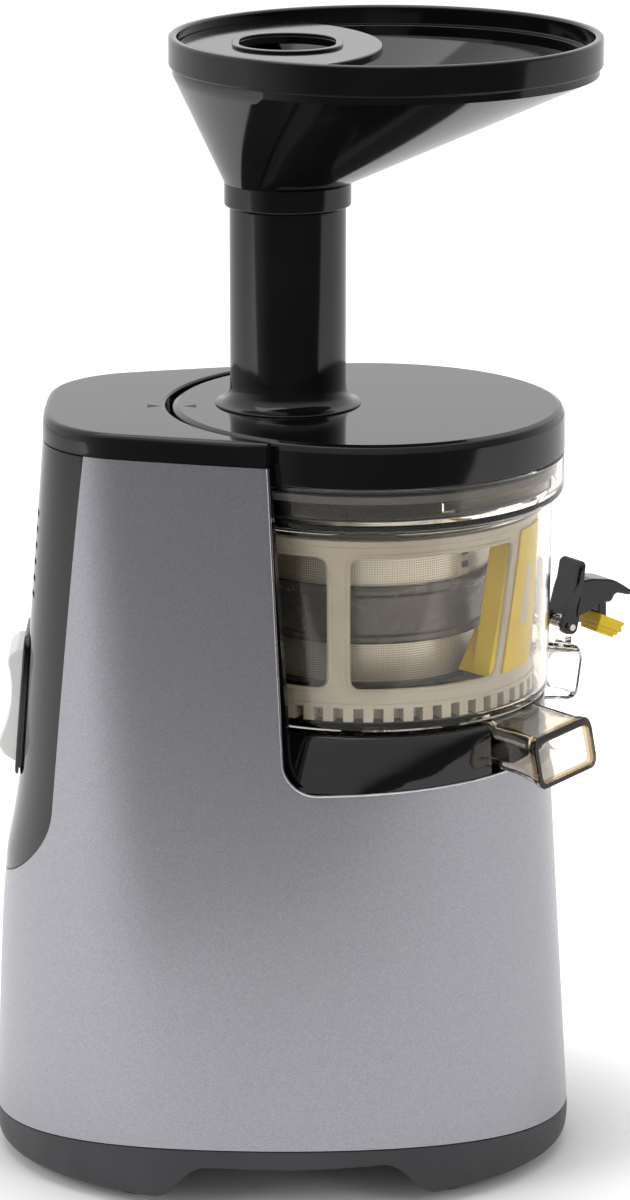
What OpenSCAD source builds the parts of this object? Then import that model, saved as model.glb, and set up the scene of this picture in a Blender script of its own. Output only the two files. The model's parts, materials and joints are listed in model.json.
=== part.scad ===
// Cold press juicer: a vertical slow juicer with a clear drum, a feed tube and a wide hopper.
// +X is the front (the spouts), +Z is up. The origin is on the drum axis, at the plane the feet stand on.

/* [Body] */
// Length of the body where it is longest
body_len = 206.4; // [198:0.1:216]
// Width of the body where it is widest
body_wid = 168; // [162:0.1:176]
// Distance of the body's middle behind the drum axis
body_mid = 30.2; // [28:0.1:32]
// Height of the longest level of the body
body_low_z = 12; // [10:0.5:14]
// Height of the skirt's lower edge
skirt_z = 4; // [3:0.5:6]
// How far the skirt turns in at its lower edge
skirt_turn = 1.7; // [1:0.1:3]
// Height of the flat top of the body
top_z = 271; // [268:0.5:276]
// Radius of the front end of the body's top outline
nose_r = 68.2; // [67:0.1:70]
// Distance of that radius' centre behind the drum axis
nose_back = 10.5; // [9:0.1:12]
// Radius of the two rear corners of the top outline
tail_r = 34; // [30:0.5:38]
// Distance of the rear corners' centres behind the drum axis
tail_back = 78; // [76:0.5:82]
// Distance of the rear corners' centres from the middle plane
tail_side = 18; // [15:0.5:21]
// Wall of the body's mouldings
wall = 2.5; // [2:0.1:3]
// Height of the seam between cover and base at the middle of a side
seam_mid_z = 24; // [22:0.5:27]
// Height of that seam at the front and rear ends
seam_end_z = 9; // [8:0.5:11]
// Height of the arch cut in each side of the skirt
arch_z = 17.5; // [15:0.5:18]
// Length of the arch at its top
arch_len = 78; // [60:1:90]
// Width of the rear panel
panel_wid = 100; // [92:1:106]
// Radius of the rear panel's bowed lower end
panel_bow_r = 61; // [56:1:66]
// Height of the lowest point of the rear panel
panel_low_z = 103; // [99:1:108]
// Height of the top cover's side band
band_h = 8.4; // [7:0.1:10]
// Visible joint line between two mouldings
joint_line = 0.3; // [0.2:0.05:0.5]

/* [Drum opening] */
// Height of the opening's lower edge
sill_z = 150; // [148:0.5:152]
// Distance of the opening's rear edge behind the axis, at the top
jamb_top = 35; // [33:0.5:37]
// Distance of that edge behind the axis, at the sill
jamb_low = 29.5; // [27:0.5:32]
// Radius of the opening's lower corner
sill_corner_r = 12; // [9:0.5:15]
// Height of the drum seat
seat_z = 168; // [166:0.5:170]
// Radius of the flat top of the drum seat
seat_r = 63.5; // [62:0.1:64]
// How much wider the foot of the seat is
seat_flare = 10.5; // [8:0.5:12]
// Gap between the drum's collar and the bay around it
bay_gap = 1.5; // [1.2:0.1:2]

/* [Louvres and switch] */
// Number of louvres in the rear panel
louvre_count = 6; // [4:1:8]
// Distance from louvre to louvre
louvre_pitch = 5.8; // [5:0.1:6.5]
// Height of the lowest louvre
louvre_z = 207; // [204:0.5:210]
// Opening height of a louvre
louvre_h = 2.2; // [1.6:0.1:2.6]
// Length of a louvre
louvre_len = 44; // [36:1:52]
// Height of the switch's middle
switch_z = 164.5; // [160:0.5:168]
// Height of the switch's bezel
bezel_h = 51; // [48:0.5:54]
// Width of the switch's bezel
bezel_w = 32; // [28:0.5:36]
// Height of the rocker
rocker_h = 43; // [40:0.5:44]
// Width of the rocker
rocker_w = 25; // [22:0.5:26]

/* [Drum] */
// Outer radius of the drum wall at its top
drum_r = 65; // [64:0.1:65.5]
// Outer radius of the drum wall at its foot
drum_foot_r = 64.2; // [63.6:0.1:64.6]
// Thickness of the drum wall
drum_wall = 2.2; // [1.8:0.1:2.4]
// Thickness of the drum floor
drum_floor = 2.7; // [2.4:0.1:3]
// Outer radius of the drum's collar
collar_r = 69; // [68.5:0.1:69.5]
// Height of the drum's collar
collar_h = 14; // [12:0.5:15]
// Height of the lid's lower edge
lid_z = 255.6; // [254:0.1:257]
// Bore in the drum floor for the drive shaft
drum_bore_r = 6.6; // [6.5:0.05:6.8]
// Height of the hub around that bore
hub_h = 9.5; // [8:0.5:10]
// Direction of the juice spout from the front, in degrees
juice_angle = 35; // [32:1:38]
// Direction of the pulp spout from the front, in degrees
pulp_angle = -34; // [-37:1:-31]
// Outer width of the juice spout
juice_w = 20; // [18:0.5:22]
// Outer width of the pulp spout
pulp_w = 33; // [31:0.5:35]
// Reach of the pulp spout from the drum axis
pulp_reach = 82; // [79:0.5:85]
// Reach of the juice spout's roof from the drum axis
juice_reach = 89.5; // [87:0.5:91]
// Wall of both spouts
spout_wall = 2; // [1.8:0.1:2.3]

/* [Strainer, brush and auger] */
// Outer radius of the strainer's lower mesh
mesh_low_r = 40.5; // [39.5:0.1:41]
// Outer radius of the strainer's upper mesh
mesh_top_r = 43.5; // [43:0.1:44]
// Thickness of the perforated sheet
mesh_t = 0.6; // [0.4:0.1:0.8]
// Height of the strainer's mid ring, lower edge
mid_low_z = 195; // [193:0.5:197]
// Height of the strainer's mid ring, upper edge
mid_top_z = 216; // [214:0.5:218]
// Height of the strainer's top
strainer_top_z = 236; // [234:0.5:237]
// Outer radius of the brush cage at its foot
cage_low_r = 59.3; // [58.8:0.1:59.6]
// Outer radius of the brush cage at its top
cage_top_r = 60.3; // [59.8:0.1:60.6]
// Number of windows in the brush cage
window_count = 5; // [4:1:6]
// Teeth on the brush cage's inner ring
ring_teeth = 54; // [54]
// Teeth on the idler pinion
idler_teeth = 20; // [20]
// Teeth on the auger's foot gear
auger_teeth = 14; // [14]
// Module of the drum's gears
drum_module = 2; // [2]
// Direction of the idler pinion from the front, in degrees
idler_angle = 150; // [140:5:170]
// Radius of the auger's flights
flight_r = 38.6; // [37.5:0.1:39]
// Height of the auger's top
auger_top_z = 243; // [241:0.5:244]
// Radius of the auger's top pin
auger_pin_r = 4.6; // [4.4:0.05:4.8]
// Width of the hexagon drive, across its flats
hex_w = 9.6; // [9:0.1:10]

/* [Lid, feed tube and hopper] */
// Outer radius of the lid
lid_r = 69.1; // [68.6:0.1:69.4]
// Outer radius of the feed tube
tube_r = 20.2; // [19.8:0.1:20.6]
// Bore of the feed tube
tube_bore_r = 17.5; // [17.2:0.1:17.8]
// Distance of the feed tube behind the drum axis
tube_back = 27.7; // [26:0.1:29]
// Height of the feed tube's top
tube_top_z = 340.7; // [336:0.1:345]
// Height of the hopper's rim
rim_z = 400; // [394:0.5:406]
// Radius of the hopper's rim
rim_r = 74.6; // [72:0.1:77]
// Distance of the hopper's middle in front of the drum axis
rim_front = 6; // [4:0.1:8]
// Height of the hopper's rim band
rim_band_h = 13; // [11:0.5:15]
// Wall of the hopper
hopper_wall = 3; // [2.6:0.1:3.2]
// Length of the hopper's spigot inside the feed tube
spigot_len = 25; // [20:1:30]
// Thickness of the hopper's guard plate
guard_t = 3; // [2.5:0.1:3.5]
// Height of the guard plate below the rim
guard_drop = 3.4; // [3:0.1:4.5]

/* [Juice cap] */
// Distance of the cap's pin from the drum axis
cap_pin_reach = 87; // [86:0.5:88]
// Height of the cap's pin
cap_pin_z = 177.5; // [177:0.5:178.5]
// Radius of the cap's pin
cap_pin_r = 1.2; // [1:0.05:1.3]
// Width of the cap lever
cap_w = 13; // [12:0.5:14]
// Angle through which the cap closes, in degrees
cap_swing = 75; // [75]

/* [Drive] */
// Distance of the motor axis behind the drum axis
motor_back = 48; // [48]
// Radius of the motor's can
can_r = 34; // [33:0.5:35]
// Height of the motor's lower bracket
motor_z = 26; // [25:0.5:27]
// Height of the gearbox floor
box_z = 86; // [85:0.5:88]
// Outer radius of the gearbox case around each end
box_r = 41; // [40:0.5:42]
// Height of the gearbox case
box_h = 36; // [36:0.5:38]
// Radius of the drive shaft
shaft_r = 6; // [5.8:0.05:6.1]
// Radius of the motor shaft
rotor_shaft_r = 3.2; // [3:0.05:3.3]
// Radius of the intermediate shaft
lay_shaft_r = 3; // [2.8:0.05:3.2]
// Module of the first gear pair
first_module = 0.75; // [0.75]
// Module of the second gear pair
second_module = 1; // [1]
// Teeth on both pinions
pinion_teeth = 12; // [12]
// Teeth on the intermediate gear
lay_teeth = 52; // [52]
// Teeth on the output gear
output_teeth = 60; // [60]
// Radius of a rubber foot
foot_r = 9; // [8:0.5:10]
// Bore of the cord gland
gland_bore_r = 3.4; // [3:0.1:4]

/* [Clearances] */
// Gap under a piece that rests on another
rest_gap = 0.3; // [0.2:0.05:0.4]
// Radial gap of a shaft that runs in a hole
run_fit = 0.05; // [0.03:0.01:0.09]
// Radial gap of a piece that is seated in another
seat_fit = 0.05; // [0.03:0.01:0.09]
// Free play between the flanks of meshed teeth
tooth_play = 0.2; // [0.15:0.05:0.3]

/* [Hidden] */
$fn = 96;
far = 400;                                      // longer than any cut needs
slice = 0.01;                                   // thickness of a lofted level
eps = 0.01;
pressure_angle = 25;

panel_lean = atan((body_mid + body_len / 2 - tail_back - tail_r) / (top_z - body_low_z));
drum_base_z = seat_z + rest_gap;
drum_floor_z = drum_base_z + drum_floor;
collar_top_z = lid_z - rest_gap;
collar_low_z = collar_top_z - collar_h;
collar_in_r = collar_r - drum_wall;
bay_r = collar_r + bay_gap;
band_z = top_z - band_h;
seam_half = body_len / 2;
seam_sag = seam_mid_z - seam_end_z;
seam_r = (seam_half * seam_half + seam_sag * seam_sag) / (2 * seam_sag);
floor_z = arch_z + 0.5;                         // underside of the base's floor
floor_top_z = floor_z + wall;
foot_spots = [for (end = [-1, 1]) for (side = [-1, 1])
  [-body_mid + end * (body_len / 2 - 53.4 + 3.7 * (end + 1)), side * (body_wid / 2 - 31 - 2 * (end + 1))]];

// Levels of the drive
can_top_z = box_z;
bracket_t = 3;
box_floor_t = 4;
box_top_z = box_z + box_h;
box_cover_t = 4;
first_z = box_z + 8;                            // intermediate gear, lower face
first_h = 7;
second_z = first_z + first_h + 3;               // output gear, lower face
second_h = 12;
first_centre = first_module * (pinion_teeth + lay_teeth) / 2;
second_centre = second_module * (pinion_teeth + output_teeth) / 2;
lay_x = -motor_back + (first_centre^2 - second_centre^2 + motor_back^2) / (2 * motor_back);
lay_y = sqrt(first_centre^2 - (lay_x + motor_back)^2);
lay_from_motor = atan2(lay_y, lay_x + motor_back);
lay_from_drive = atan2(lay_y, lay_x);
hex_low_z = drum_floor_z + hub_h + 3;
hex_top_z = hex_low_z + 20;

// Levels inside the drum
pulp_slope = 3;                                 // fall of the pulp duct, in degrees
gear_z = drum_floor_z + 1.4;
gear_h = 4.6;
strainer_floor_z = gear_z + gear_h + 1.6;
strainer_floor_t = 2.4;
neck_r = auger_teeth * drum_module / 2 + drum_module * 0.8;
idler_reach = drum_module * (auger_teeth + idler_teeth) / 2;
window_low_z = strainer_floor_z + 3;
window_top_z = strainer_top_z - 4;
seal_r = shaft_r + 3.4;

// Hopper
hopper_neck_r = tube_r + 1.8;
neck_top_z = tube_top_z + rest_gap + 8;
hopper_in_r = rim_r - hopper_wall;
bowl_z = rim_z - rim_band_h;

/* ---- shared shapes ---- */

// Turns a boolean of lofted forms into one skin
module moulded() {
  resize([0, 0, 0]) children();
}

module level(z) {
  translate([0, 0, z]) linear_extrude(slice) children();
}

module slab(z_low, z_high) {
  translate([-far / 2, -far / 2, z_low]) cube([far, far, z_high - z_low]);
}

module ring(r_out, r_in, h) {
  difference() {
    cylinder(r = r_out, h = h);
    translate([0, 0, -1]) cylinder(r = r_in, h = h + 2);
  }
}

module foot_outline(inset = 0) {
  translate([-body_mid, 0])
    scale([(body_len / 2 - inset) / 100, (body_wid / 2 - inset) / 100]) circle(100, $fn = 84);
}

// The silver cover is a little fuller than a straight loft low down at the rear
module fuller_outline(inset = 0) {
  translate([-body_mid - 20, 0])
    scale([(body_len / 2 - 23.3 - inset) / 100, (body_wid / 2 - 9 - inset) / 100]) circle(100, $fn = 64);
}

module top_outline(inset = 0) {
  hull() {
    translate([-nose_back, 0]) circle(nose_r - inset, $fn = 84);
    for (s = [-1, 1]) translate([-tail_back, s * tail_side]) circle(tail_r - inset, $fn = 40);
  }
}

// Lofted outside of the body, drawn in by an inset
module body_form(inset = 0, fuller = true) {
  hull() {
    level(skirt_z) foot_outline(inset + skirt_turn);
    level(skirt_z + 2) foot_outline(inset + skirt_turn * 0.3);
    level(body_low_z) foot_outline(inset);
    if (fuller) level(90) fuller_outline(inset);
    level(top_z) top_outline(inset);
  }
}

// Everything under the smile-shaped seam
module under_seam(rise = 0) {
  translate([-body_mid, 0, seam_mid_z - seam_r]) rotate([90, 0, 0])
    cylinder(r = seam_r + rise, h = far, center = true, $fn = 280);
}

// Everything the drum opening takes out of the body
module drum_opening(grow = 0) {
  rotate([90, 0, 0]) linear_extrude(far, center = true) hull() {
    translate([-jamb_top - grow, top_z + 5]) square([slice, slice]);
    translate([-jamb_low + sill_corner_r - grow, sill_z + sill_corner_r])
      circle(sill_corner_r, $fn = 48);
    translate([far / 2, sill_z]) square([slice, far / 2]);
  }
}

// Window in the cover that the rear panel fills
module rear_window(gap = 0) {
  half = panel_wid / 2 - gap;
  bow_z = panel_low_z + panel_bow_r;
  translate([-tail_back - 20, 0, 0]) rotate([90, 0, -90]) linear_extrude(80) difference() {
    translate([-half, panel_low_z - 5]) square([2 * half, far]);
    difference() {
      translate([-far / 2, -far]) square([far, far + bow_z]);
      translate([0, bow_z]) circle(panel_bow_r - gap, $fn = 96);
    }
  }
}

// Local frame on the rear panel: -X points out of the panel
module on_panel(z) {
  proud = 0.4;
  mid_x = -body_mid - body_len / 2 + (z - body_low_z) * tan(panel_lean) - proud;
  translate([mid_x, 0, z]) rotate([0, panel_lean, 0]) children();
}

/* ---- gears ---- */

function inv(a) = tan(a) * 180 / PI - a;

// Half the angle of a tooth at radius r
function tooth_half(teeth, mod, r, play) =
  let (pitch_r = teeth * mod / 2, base_r = pitch_r * cos(pressure_angle))
  90 / teeth - play / (2 * pitch_r) * 180 / PI + inv(pressure_angle)
    - inv(r > base_r ? acos(base_r / r) : 0);

// Outline of a toothed wheel with a tooth centred on angle 0
function wheel(teeth, mod, root_r, tip_r, play) =
  let (radii = [root_r, (root_r * 2 + tip_r) / 3, (root_r + tip_r * 2) / 3, tip_r])
  [for (k = [0 : teeth - 1]) each concat(
    [for (r = radii) let (a = 360 / teeth * k - tooth_half(teeth, mod, r, play)) r * [cos(a), sin(a)]],
    [for (i = [3 : -1 : 0]) let (r = radii[i], a = 360 / teeth * k + tooth_half(teeth, mod, r, play))
      r * [cos(a), sin(a)]])];

module gear(teeth, mod, h, phase = 0) {
  pitch_r = teeth * mod / 2;
  rotate([0, 0, phase]) linear_extrude(h)
    polygon(wheel(teeth, mod, pitch_r - mod, pitch_r + mod * 0.8, tooth_play / 2));
}

// Turns a wheel so that it meshes with one that has a tooth on the line between them
function mesh_phase(line, teeth) = line + 180 + 180 / teeth;

// Fraction of a tooth by which a wheel's tooth is off a line
function off_line(line, phase, teeth) = (line - phase) * teeth / 360;

/* ---- base and casing ---- */

module base_shell() {
  color([0.25, 0.25, 0.26]) moulded() difference() {
    union() {
      intersection() {
        body_form(0);
        under_seam();
      }
      intersection() {
        body_form(wall + joint_line);
        slab(skirt_z, floor_top_z);
      }
    }
    intersection() {
      body_form(wall * 2 + joint_line);
      slab(0, floor_z);
    }
    intersection() {
      body_form(wall);
      slab(floor_top_z, far);
    }
    side_arches();
    for (p = foot_spots) translate([p[0], p[1], floor_z - 1]) cylinder(r = 2.2, h = 9, $fn = 24);
  }
}

module side_arches() {
  mid = -body_mid + 5;
  translate([mid, 0, 0]) rotate([90, 0, 0]) linear_extrude(far, center = true)
    polygon([[-arch_len / 2 - 9, 0], [-arch_len / 2 - 5, skirt_z + 4], [-arch_len / 2 + 3, arch_z],
      [arch_len / 2 - 3, arch_z], [arch_len / 2 + 5, skirt_z + 4], [arch_len / 2 + 9, 0]]);
}

module foot_pads() {
  color([0.12, 0.12, 0.12]) for (p = foot_spots) translate([p[0], p[1], 0]) difference() {
    union() {
      cylinder(r1 = foot_r - 0.8, r2 = foot_r, h = 1.5);
      translate([0, 0, 1.5]) cylinder(r = foot_r, h = floor_z - 1.5);
    }
    translate([0, 0, -1]) cylinder(r = 3.6, h = 7);
    cylinder(r = 2 + seat_fit, h = far);
  }
}

module base_screws() {
  color([0.7, 0.7, 0.72]) for (p = foot_spots) translate([p[0], p[1], 0]) {
    translate([0, 0, 3.6]) cylinder(r = 3.4, h = 2.4);
    translate([0, 0, 6 - eps]) cylinder(r = 2, h = floor_top_z - 6 + 1);
  }
}

module silver_cover() {
  color([0.66, 0.66, 0.69]) moulded() difference() {
    body_form(0);
    body_form(wall);
    under_seam(joint_line);
    drum_opening();
    rear_window();
    slab(band_z, far);
    gland_place() cylinder(r = 6 + seat_fit, h = 30, center = true, $fn = 48);
  }
}

module rear_panel() {
  color([0.06, 0.06, 0.07]) moulded() difference() {
    intersection() {
      body_form(0, false);
      rear_window(joint_line);
    }
    body_form(wall, false);
    slab(band_z - joint_line, far);
    for (i = [0 : louvre_count - 1]) on_panel(louvre_z + i * louvre_pitch)
      translate([-12, -louvre_len / 2, -louvre_h / 2]) rotate([0, 20, 0]) cube([24, louvre_len, louvre_h]);
    on_panel(switch_z)
      translate([-20, -bezel_w / 2 + 1.5, -bezel_h / 2 + 1.5]) cube([40, bezel_w - 3, bezel_h - 3]);
  }
}

module top_cover() {
  color([0.07, 0.07, 0.08]) moulded() difference() {
    hull() {
      level(band_z) top_outline(-0.6);
      level(top_z - 2.8) top_outline(-0.2);
      level(top_z - 0.9) top_outline(0.7);
      level(top_z - slice) top_outline(2.8);
    }
    hull() {
      level(band_z - 1) top_outline(wall);
      level(top_z - wall) top_outline(wall + 0.4);
    }
    cylinder(r = bay_r, h = far, $fn = 96);
    drum_opening();
  }
  color([0.07, 0.07, 0.08]) top_cover_rim();
}

// Wall that hangs from the top cover round the bay
module top_cover_rim() {
  moulded() difference() {
    intersection() {
      translate([0, 0, band_z + joint_line])
        cylinder(r = bay_r + wall, h = band_h - joint_line - 1, $fn = 96);
      body_form(wall - 0.5, false);
    }
    cylinder(r = bay_r, h = far, $fn = 96);
    drum_opening();
  }
}

module drum_seat() {
  color([0.05, 0.05, 0.06]) moulded() difference() {
    union() {
      intersection() {
        body_form(wall + joint_line, false);
        translate([-bay_r - wall, -far / 2, sill_z - wall]) cube([far, far, wall]);
      }
      seat_form(0, sill_z - wall);
    }
    difference() {
      seat_form(wall, sill_z - 30);
      slab(seat_z - wall, far);
      duct_walls();
    }
    duct_ways();
    translate([0, 0, sill_z - 20]) cylinder(r = seal_r + seat_fit, h = far, $fn = 60);
  }
}

// Wall of the bay behind the drum; it stands on the seat's edge and carries the circuit board
module bay_wall() {
  color([0.05, 0.05, 0.06]) moulded() difference() {
    intersection() {
      body_form(wall + joint_line, false);
      union() {
        difference() {
          translate([0, 0, sill_z + seat_fit])
            cylinder(r = bay_r + wall, h = band_z - sill_z - seat_fit, $fn = 96);
          translate([0, 0, sill_z - 1]) cylinder(r = bay_r, h = far, $fn = 96);
          drum_opening(-1);
        }
        for (s = [-1, 1]) for (z = board_bolt_z) translate([-bay_r + 1, s * board_bolt_y, z])
          rotate([0, -90, 0]) cylinder(r = 3, h = board_x - bay_r + 1, $fn = 32);
      }
    }
    seat_form(-seat_fit, sill_z - wall);
    cylinder(r = bay_r, h = far, $fn = 96);
  }
}

// Outside of the seat under the drum, from a lower level up
module seat_form(inset, z_low) {
  intersection() {
    body_form(inset + 0.6, false);
    hull() {
      level(seat_z - slice) circle(seat_r - inset, $fn = 96);
      level(sill_z) circle(seat_r + seat_flare - inset, $fn = 96);
      level(z_low) circle(seat_r + seat_flare - inset, $fn = 96);
    }
    union() {
      slab(sill_z, far);
      body_form(wall + joint_line + inset, false);
    }
  }
}

// Ways through the seat for the two spouts
module duct_ways() {
  rotate([0, 0, pulp_angle]) translate([13, -pulp_w / 2 - 1, sill_z]) cube([far, pulp_w + 2, 60]);
  rotate([0, 0, juice_angle]) translate([42, -juice_w / 2 - 1, sill_z + 2]) cube([far, juice_w + 2, 60]);
}

// Walls that close the seat round those ways
module duct_walls() {
  rotate([0, 0, pulp_angle]) translate([13 - wall, -pulp_w / 2 - 1 - wall, sill_z - wall])
    cube([far, pulp_w + 2 + 2 * wall, 60]);
  rotate([0, 0, juice_angle]) translate([42 - wall, -juice_w / 2 - 1 - wall, sill_z - wall + 2])
    cube([far, juice_w + 2 + 2 * wall, 60]);
}

module seat_seal() {
  color([0.3, 0.3, 0.3]) translate([0, 0, seat_z - wall]) ring(seal_r, shaft_r + run_fit, wall);
}

/* ---- electrics ---- */

board_x = 88;                                   // front face of the circuit board, behind the axis
board_t = 1.6;
board_w = 56;
board_h = 58;
board_low_z = top_z - 83;
board_bolt_y = board_w / 2 - 8;
board_bolt_z = [board_low_z + 8, board_low_z + board_h - 8];
capacitor_r = 9;
capacitor_len = 32;
relay = [15, 30, 13];                           // height over the board, width, depth

module switch_bezel() {
  color([0.08, 0.08, 0.09]) on_panel(switch_z) difference() {
    union() {
      translate([-1.2, -bezel_w / 2, -bezel_h / 2]) cube([1.2, bezel_w, bezel_h]);
      translate([-eps, -bezel_w / 2 + 2, -bezel_h / 2 + 2]) cube([wall + 2, bezel_w - 4, bezel_h - 4]);
    }
    translate([-5, -rocker_w / 2 - rest_gap, -rocker_h / 2 - 1])
      cube([20, rocker_w + 2 * rest_gap, rocker_h + 2]);
  }
}

module switch_body() {
  color([0.15, 0.15, 0.16]) on_panel(switch_z) {
    translate([wall + 2, -bezel_w / 2 + 2, -bezel_h / 2 + 2]) cube([13, bezel_w - 4, bezel_h - 4]);
    for (z = [-14, 0, 14]) translate([wall + 15 - eps, -3, z - 0.4]) cube([8, 6, 0.8]);
  }
}

// Rocker with a hollowed face; it turns on its own trunnions
module rocker() {
  color([0.93, 0.93, 0.93]) on_panel(switch_z) {
    rotate([90, 0, 0]) linear_extrude(rocker_w, center = true) polygon([
      [0.3, -20.6], [-1.6, -20.9], [-5.6, -18.6], [-8, -15.2], [-6.6, -10.5], [-5.2, -5.5], [-4.6, 0],
      [-4.7, 6], [-5.4, 11], [-6.6, 15], [-6.3, 18], [-3.6, 20.4], [0.3, 20.8], [3.2, 7], [3.6, 0],
      [3.2, -7]]);
  }
}

module gland_place() {
  translate([-body_mid - body_len / 2 + 5.6, 18, 36]) rotate([0, -90, 0]) children();
}

module cord_gland() {
  color([0.1, 0.1, 0.1]) gland_place() difference() {
    union() {
      translate([0, 0, -9]) cylinder(r = 6, h = 12.7);
      translate([0, 0, -11]) cylinder(r = 9, h = 4);
    }
    translate([0, 0, -20]) cylinder(r = gland_bore_r, h = 40);
  }
}

module circuit_board() {
  color([0.1, 0.35, 0.18]) difference() {
    translate([-board_x - board_t, -board_w / 2, board_low_z]) cube([board_t, board_w, board_h]);
    for (s = [-1, 1]) for (z = board_bolt_z) translate([-board_x - 5, s * board_bolt_y, z])
      rotate([0, 90, 0]) cylinder(r = 1.5, h = 10, $fn = 24);
  }
}

module run_capacitor() {
  color([0.75, 0.75, 0.78])
    translate([-board_x - board_t - capacitor_r, capacitor_len / 2, board_low_z + board_h / 2])
    rotate([90, 0, 0]) cylinder(r = capacitor_r, h = capacitor_len);
}

module control_relay() {
  color([0.15, 0.3, 0.6])
    translate([-board_x - board_t - relay[0], -relay[1] / 2, board_low_z + 4]) cube(relay);
}

module reed_sensor() {
  color([0.85, 0.85, 0.8]) translate([-bay_r - wall - 6 - seat_fit, -9, band_z - 16]) difference() {
    cube([6, 18, 12]);
    translate([6 + bay_r + wall, 9, -1]) cylinder(r = bay_r + wall + seat_fit, h = 20);
  }
}

/* ---- motor ---- */

module at_motor(z) {
  translate([-motor_back, 0, z]) children();
}

mount_spots = [for (a = [45 : 90 : 315]) (can_r - 4) * [cos(a), sin(a)]];
stack_z = motor_z + 18;                         // lower end of the laminated stack
stack_h = 30;
rotor_r = 18;
air_gap = 0.6;
slot_mid_r = can_r - 8.8;
slot_len = 6.5;
slot_w = 5.2;
wire_gap = 0.3;

module motor_mounts() {
  color([0.15, 0.15, 0.15]) for (p = mount_spots) at_motor(floor_top_z) translate([p[0], p[1], 0])
    difference() {
      cylinder(r = 7, h = motor_z - floor_top_z);
      translate([0, 0, -1]) cylinder(r = 2, h = 20, $fn = 24);
    }
}

module motor_bracket() {
  color([0.75, 0.76, 0.78]) at_motor(motor_z) difference() {
    union() {
      cylinder(r = can_r + 4, h = bracket_t);
      cylinder(r = 12, h = bracket_t + 3);
    }
    translate([0, 0, 1]) cylinder(r = 8 + seat_fit, h = 20);
    translate([0, 0, -1]) cylinder(r = 4.4, h = 20);
    for (p = mount_spots) translate([p[0], p[1], -1]) cylinder(r = 2, h = 20, $fn = 24);
  }
}

module motor_can() {
  color([0.6, 0.6, 0.62]) at_motor(motor_z + bracket_t) difference() {
    cylinder(r = can_r, h = can_top_z - motor_z - bracket_t);
    translate([0, 0, -1]) cylinder(r = can_r - 1.5, h = far);
    for (a = [0 : 45 : 315]) rotate([0, 0, a]) translate([can_r - 6, -4, 3]) cube([12, 8, 3]);
  }
}

module stator() {
  color([0.45, 0.46, 0.48]) at_motor(stack_z) difference() {
    cylinder(r = can_r - 1.5 - seat_fit, h = stack_h);
    translate([0, 0, -1]) cylinder(r = rotor_r + air_gap, h = stack_h + 2);
    for (a = [0 : 30 : 330]) rotate([0, 0, a]) translate([slot_mid_r - slot_len / 2, -slot_w / 2, -1])
      cube([slot_len, slot_w, stack_h + 2]);
  }
}

// Two rings of winding ends joined by the bars in the stator's slots
module motor_windings() {
  end_h = 6.7;
  color([0.72, 0.4, 0.18]) at_motor(stack_z) {
    for (z = [-end_h - rest_gap, stack_h + rest_gap]) translate([0, 0, z]) rotate_extrude()
      translate([slot_mid_r, end_h / 2]) offset(delta = 1, chamfer = true)
        square([slot_len - 1.4, end_h - 2], center = true);
    for (a = [0 : 30 : 330]) rotate([0, 0, a])
      translate([slot_mid_r - slot_len / 2 + wire_gap, -slot_w / 2 + wire_gap, -1])
        cube([slot_len - 2 * wire_gap, slot_w - 2 * wire_gap, stack_h + 2]);
  }
}

module bearing(r_out, r_in, h) {
  ring(r_out, r_in, h);
}

module motor_bearings() {
  color([0.8, 0.8, 0.82]) {
    at_motor(motor_z + 1) bearing(8, rotor_shaft_r + run_fit, 5);
    at_motor(box_z - 4) bearing(8, rotor_shaft_r + run_fit, 5);
  }
}

module rotor() {
  color([0.5, 0.5, 0.52]) at_motor(stack_z) ring(rotor_r, rotor_shaft_r, stack_h);
}

module rotor_shaft() {
  color([0.8, 0.8, 0.8]) at_motor(motor_z + 1)
    cylinder(r = rotor_shaft_r, h = first_z + first_h + 1 - motor_z);
}

module cooling_fan() {
  color([0.2, 0.2, 0.22]) at_motor(can_top_z - 10) {
    difference() {
      union() {
        cylinder(r = 6, h = 5);
        cylinder(r = 17, h = 1.2);
        for (a = [0 : 45 : 315]) rotate([0, 0, a]) translate([5, -0.6, 0]) cube([12, 1.2, 5]);
      }
      translate([0, 0, -1]) cylinder(r = rotor_shaft_r, h = 20);
    }
  }
}

module motor_pinion() {
  color([0.7, 0.65, 0.45]) at_motor(first_z - 1) difference() {
    gear(pinion_teeth, first_module, first_h + 2, lay_from_motor);
    translate([0, 0, -1]) cylinder(r = rotor_shaft_r, h = 20);
  }
}

/* ---- gearbox ---- */

cover_bolts = [for (x = [-motor_back - 26, 26]) for (side = [-1, 1]) [x, side * 26]];

module box_outline(r, h) {
  cylinder(r = r, h = h);
  translate([-motor_back, 0, 0]) cylinder(r = r, h = h);
  translate([-motor_back, -r, 0]) cube([motor_back, 2 * r, h]);
}

module gearbox_case() {
  color([0.72, 0.73, 0.75]) difference() {
    union() {
      translate([0, 0, box_z]) difference() {
        box_outline(box_r, box_h);
        translate([0, 0, box_floor_t]) box_outline(box_r - 3, far);
      }
      translate([0, 0, box_z + 1]) cylinder(r = 12, h = 11);
      translate([lay_x, lay_y, box_z + 1]) cylinder(r = 7, h = 6);
      for (p = cover_bolts) translate([p[0], p[1], box_z + 1]) cylinder(r = 4.5, h = box_h - 1);
    }
    translate([0, 0, box_z + 5]) cylinder(r = 9.5 + seat_fit, h = 30);
    at_motor(box_z - 5) cylinder(r = 8 + seat_fit, h = 6);
    at_motor(box_z - 5) cylinder(r = 6, h = 20);
    translate([lay_x, lay_y, box_z + 1]) cylinder(r = 5 + seat_fit, h = 30);
    for (p = cover_bolts) translate([p[0], p[1], box_top_z - 12]) cylinder(r = 1.6, h = 20, $fn = 24);
  }
}

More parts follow.
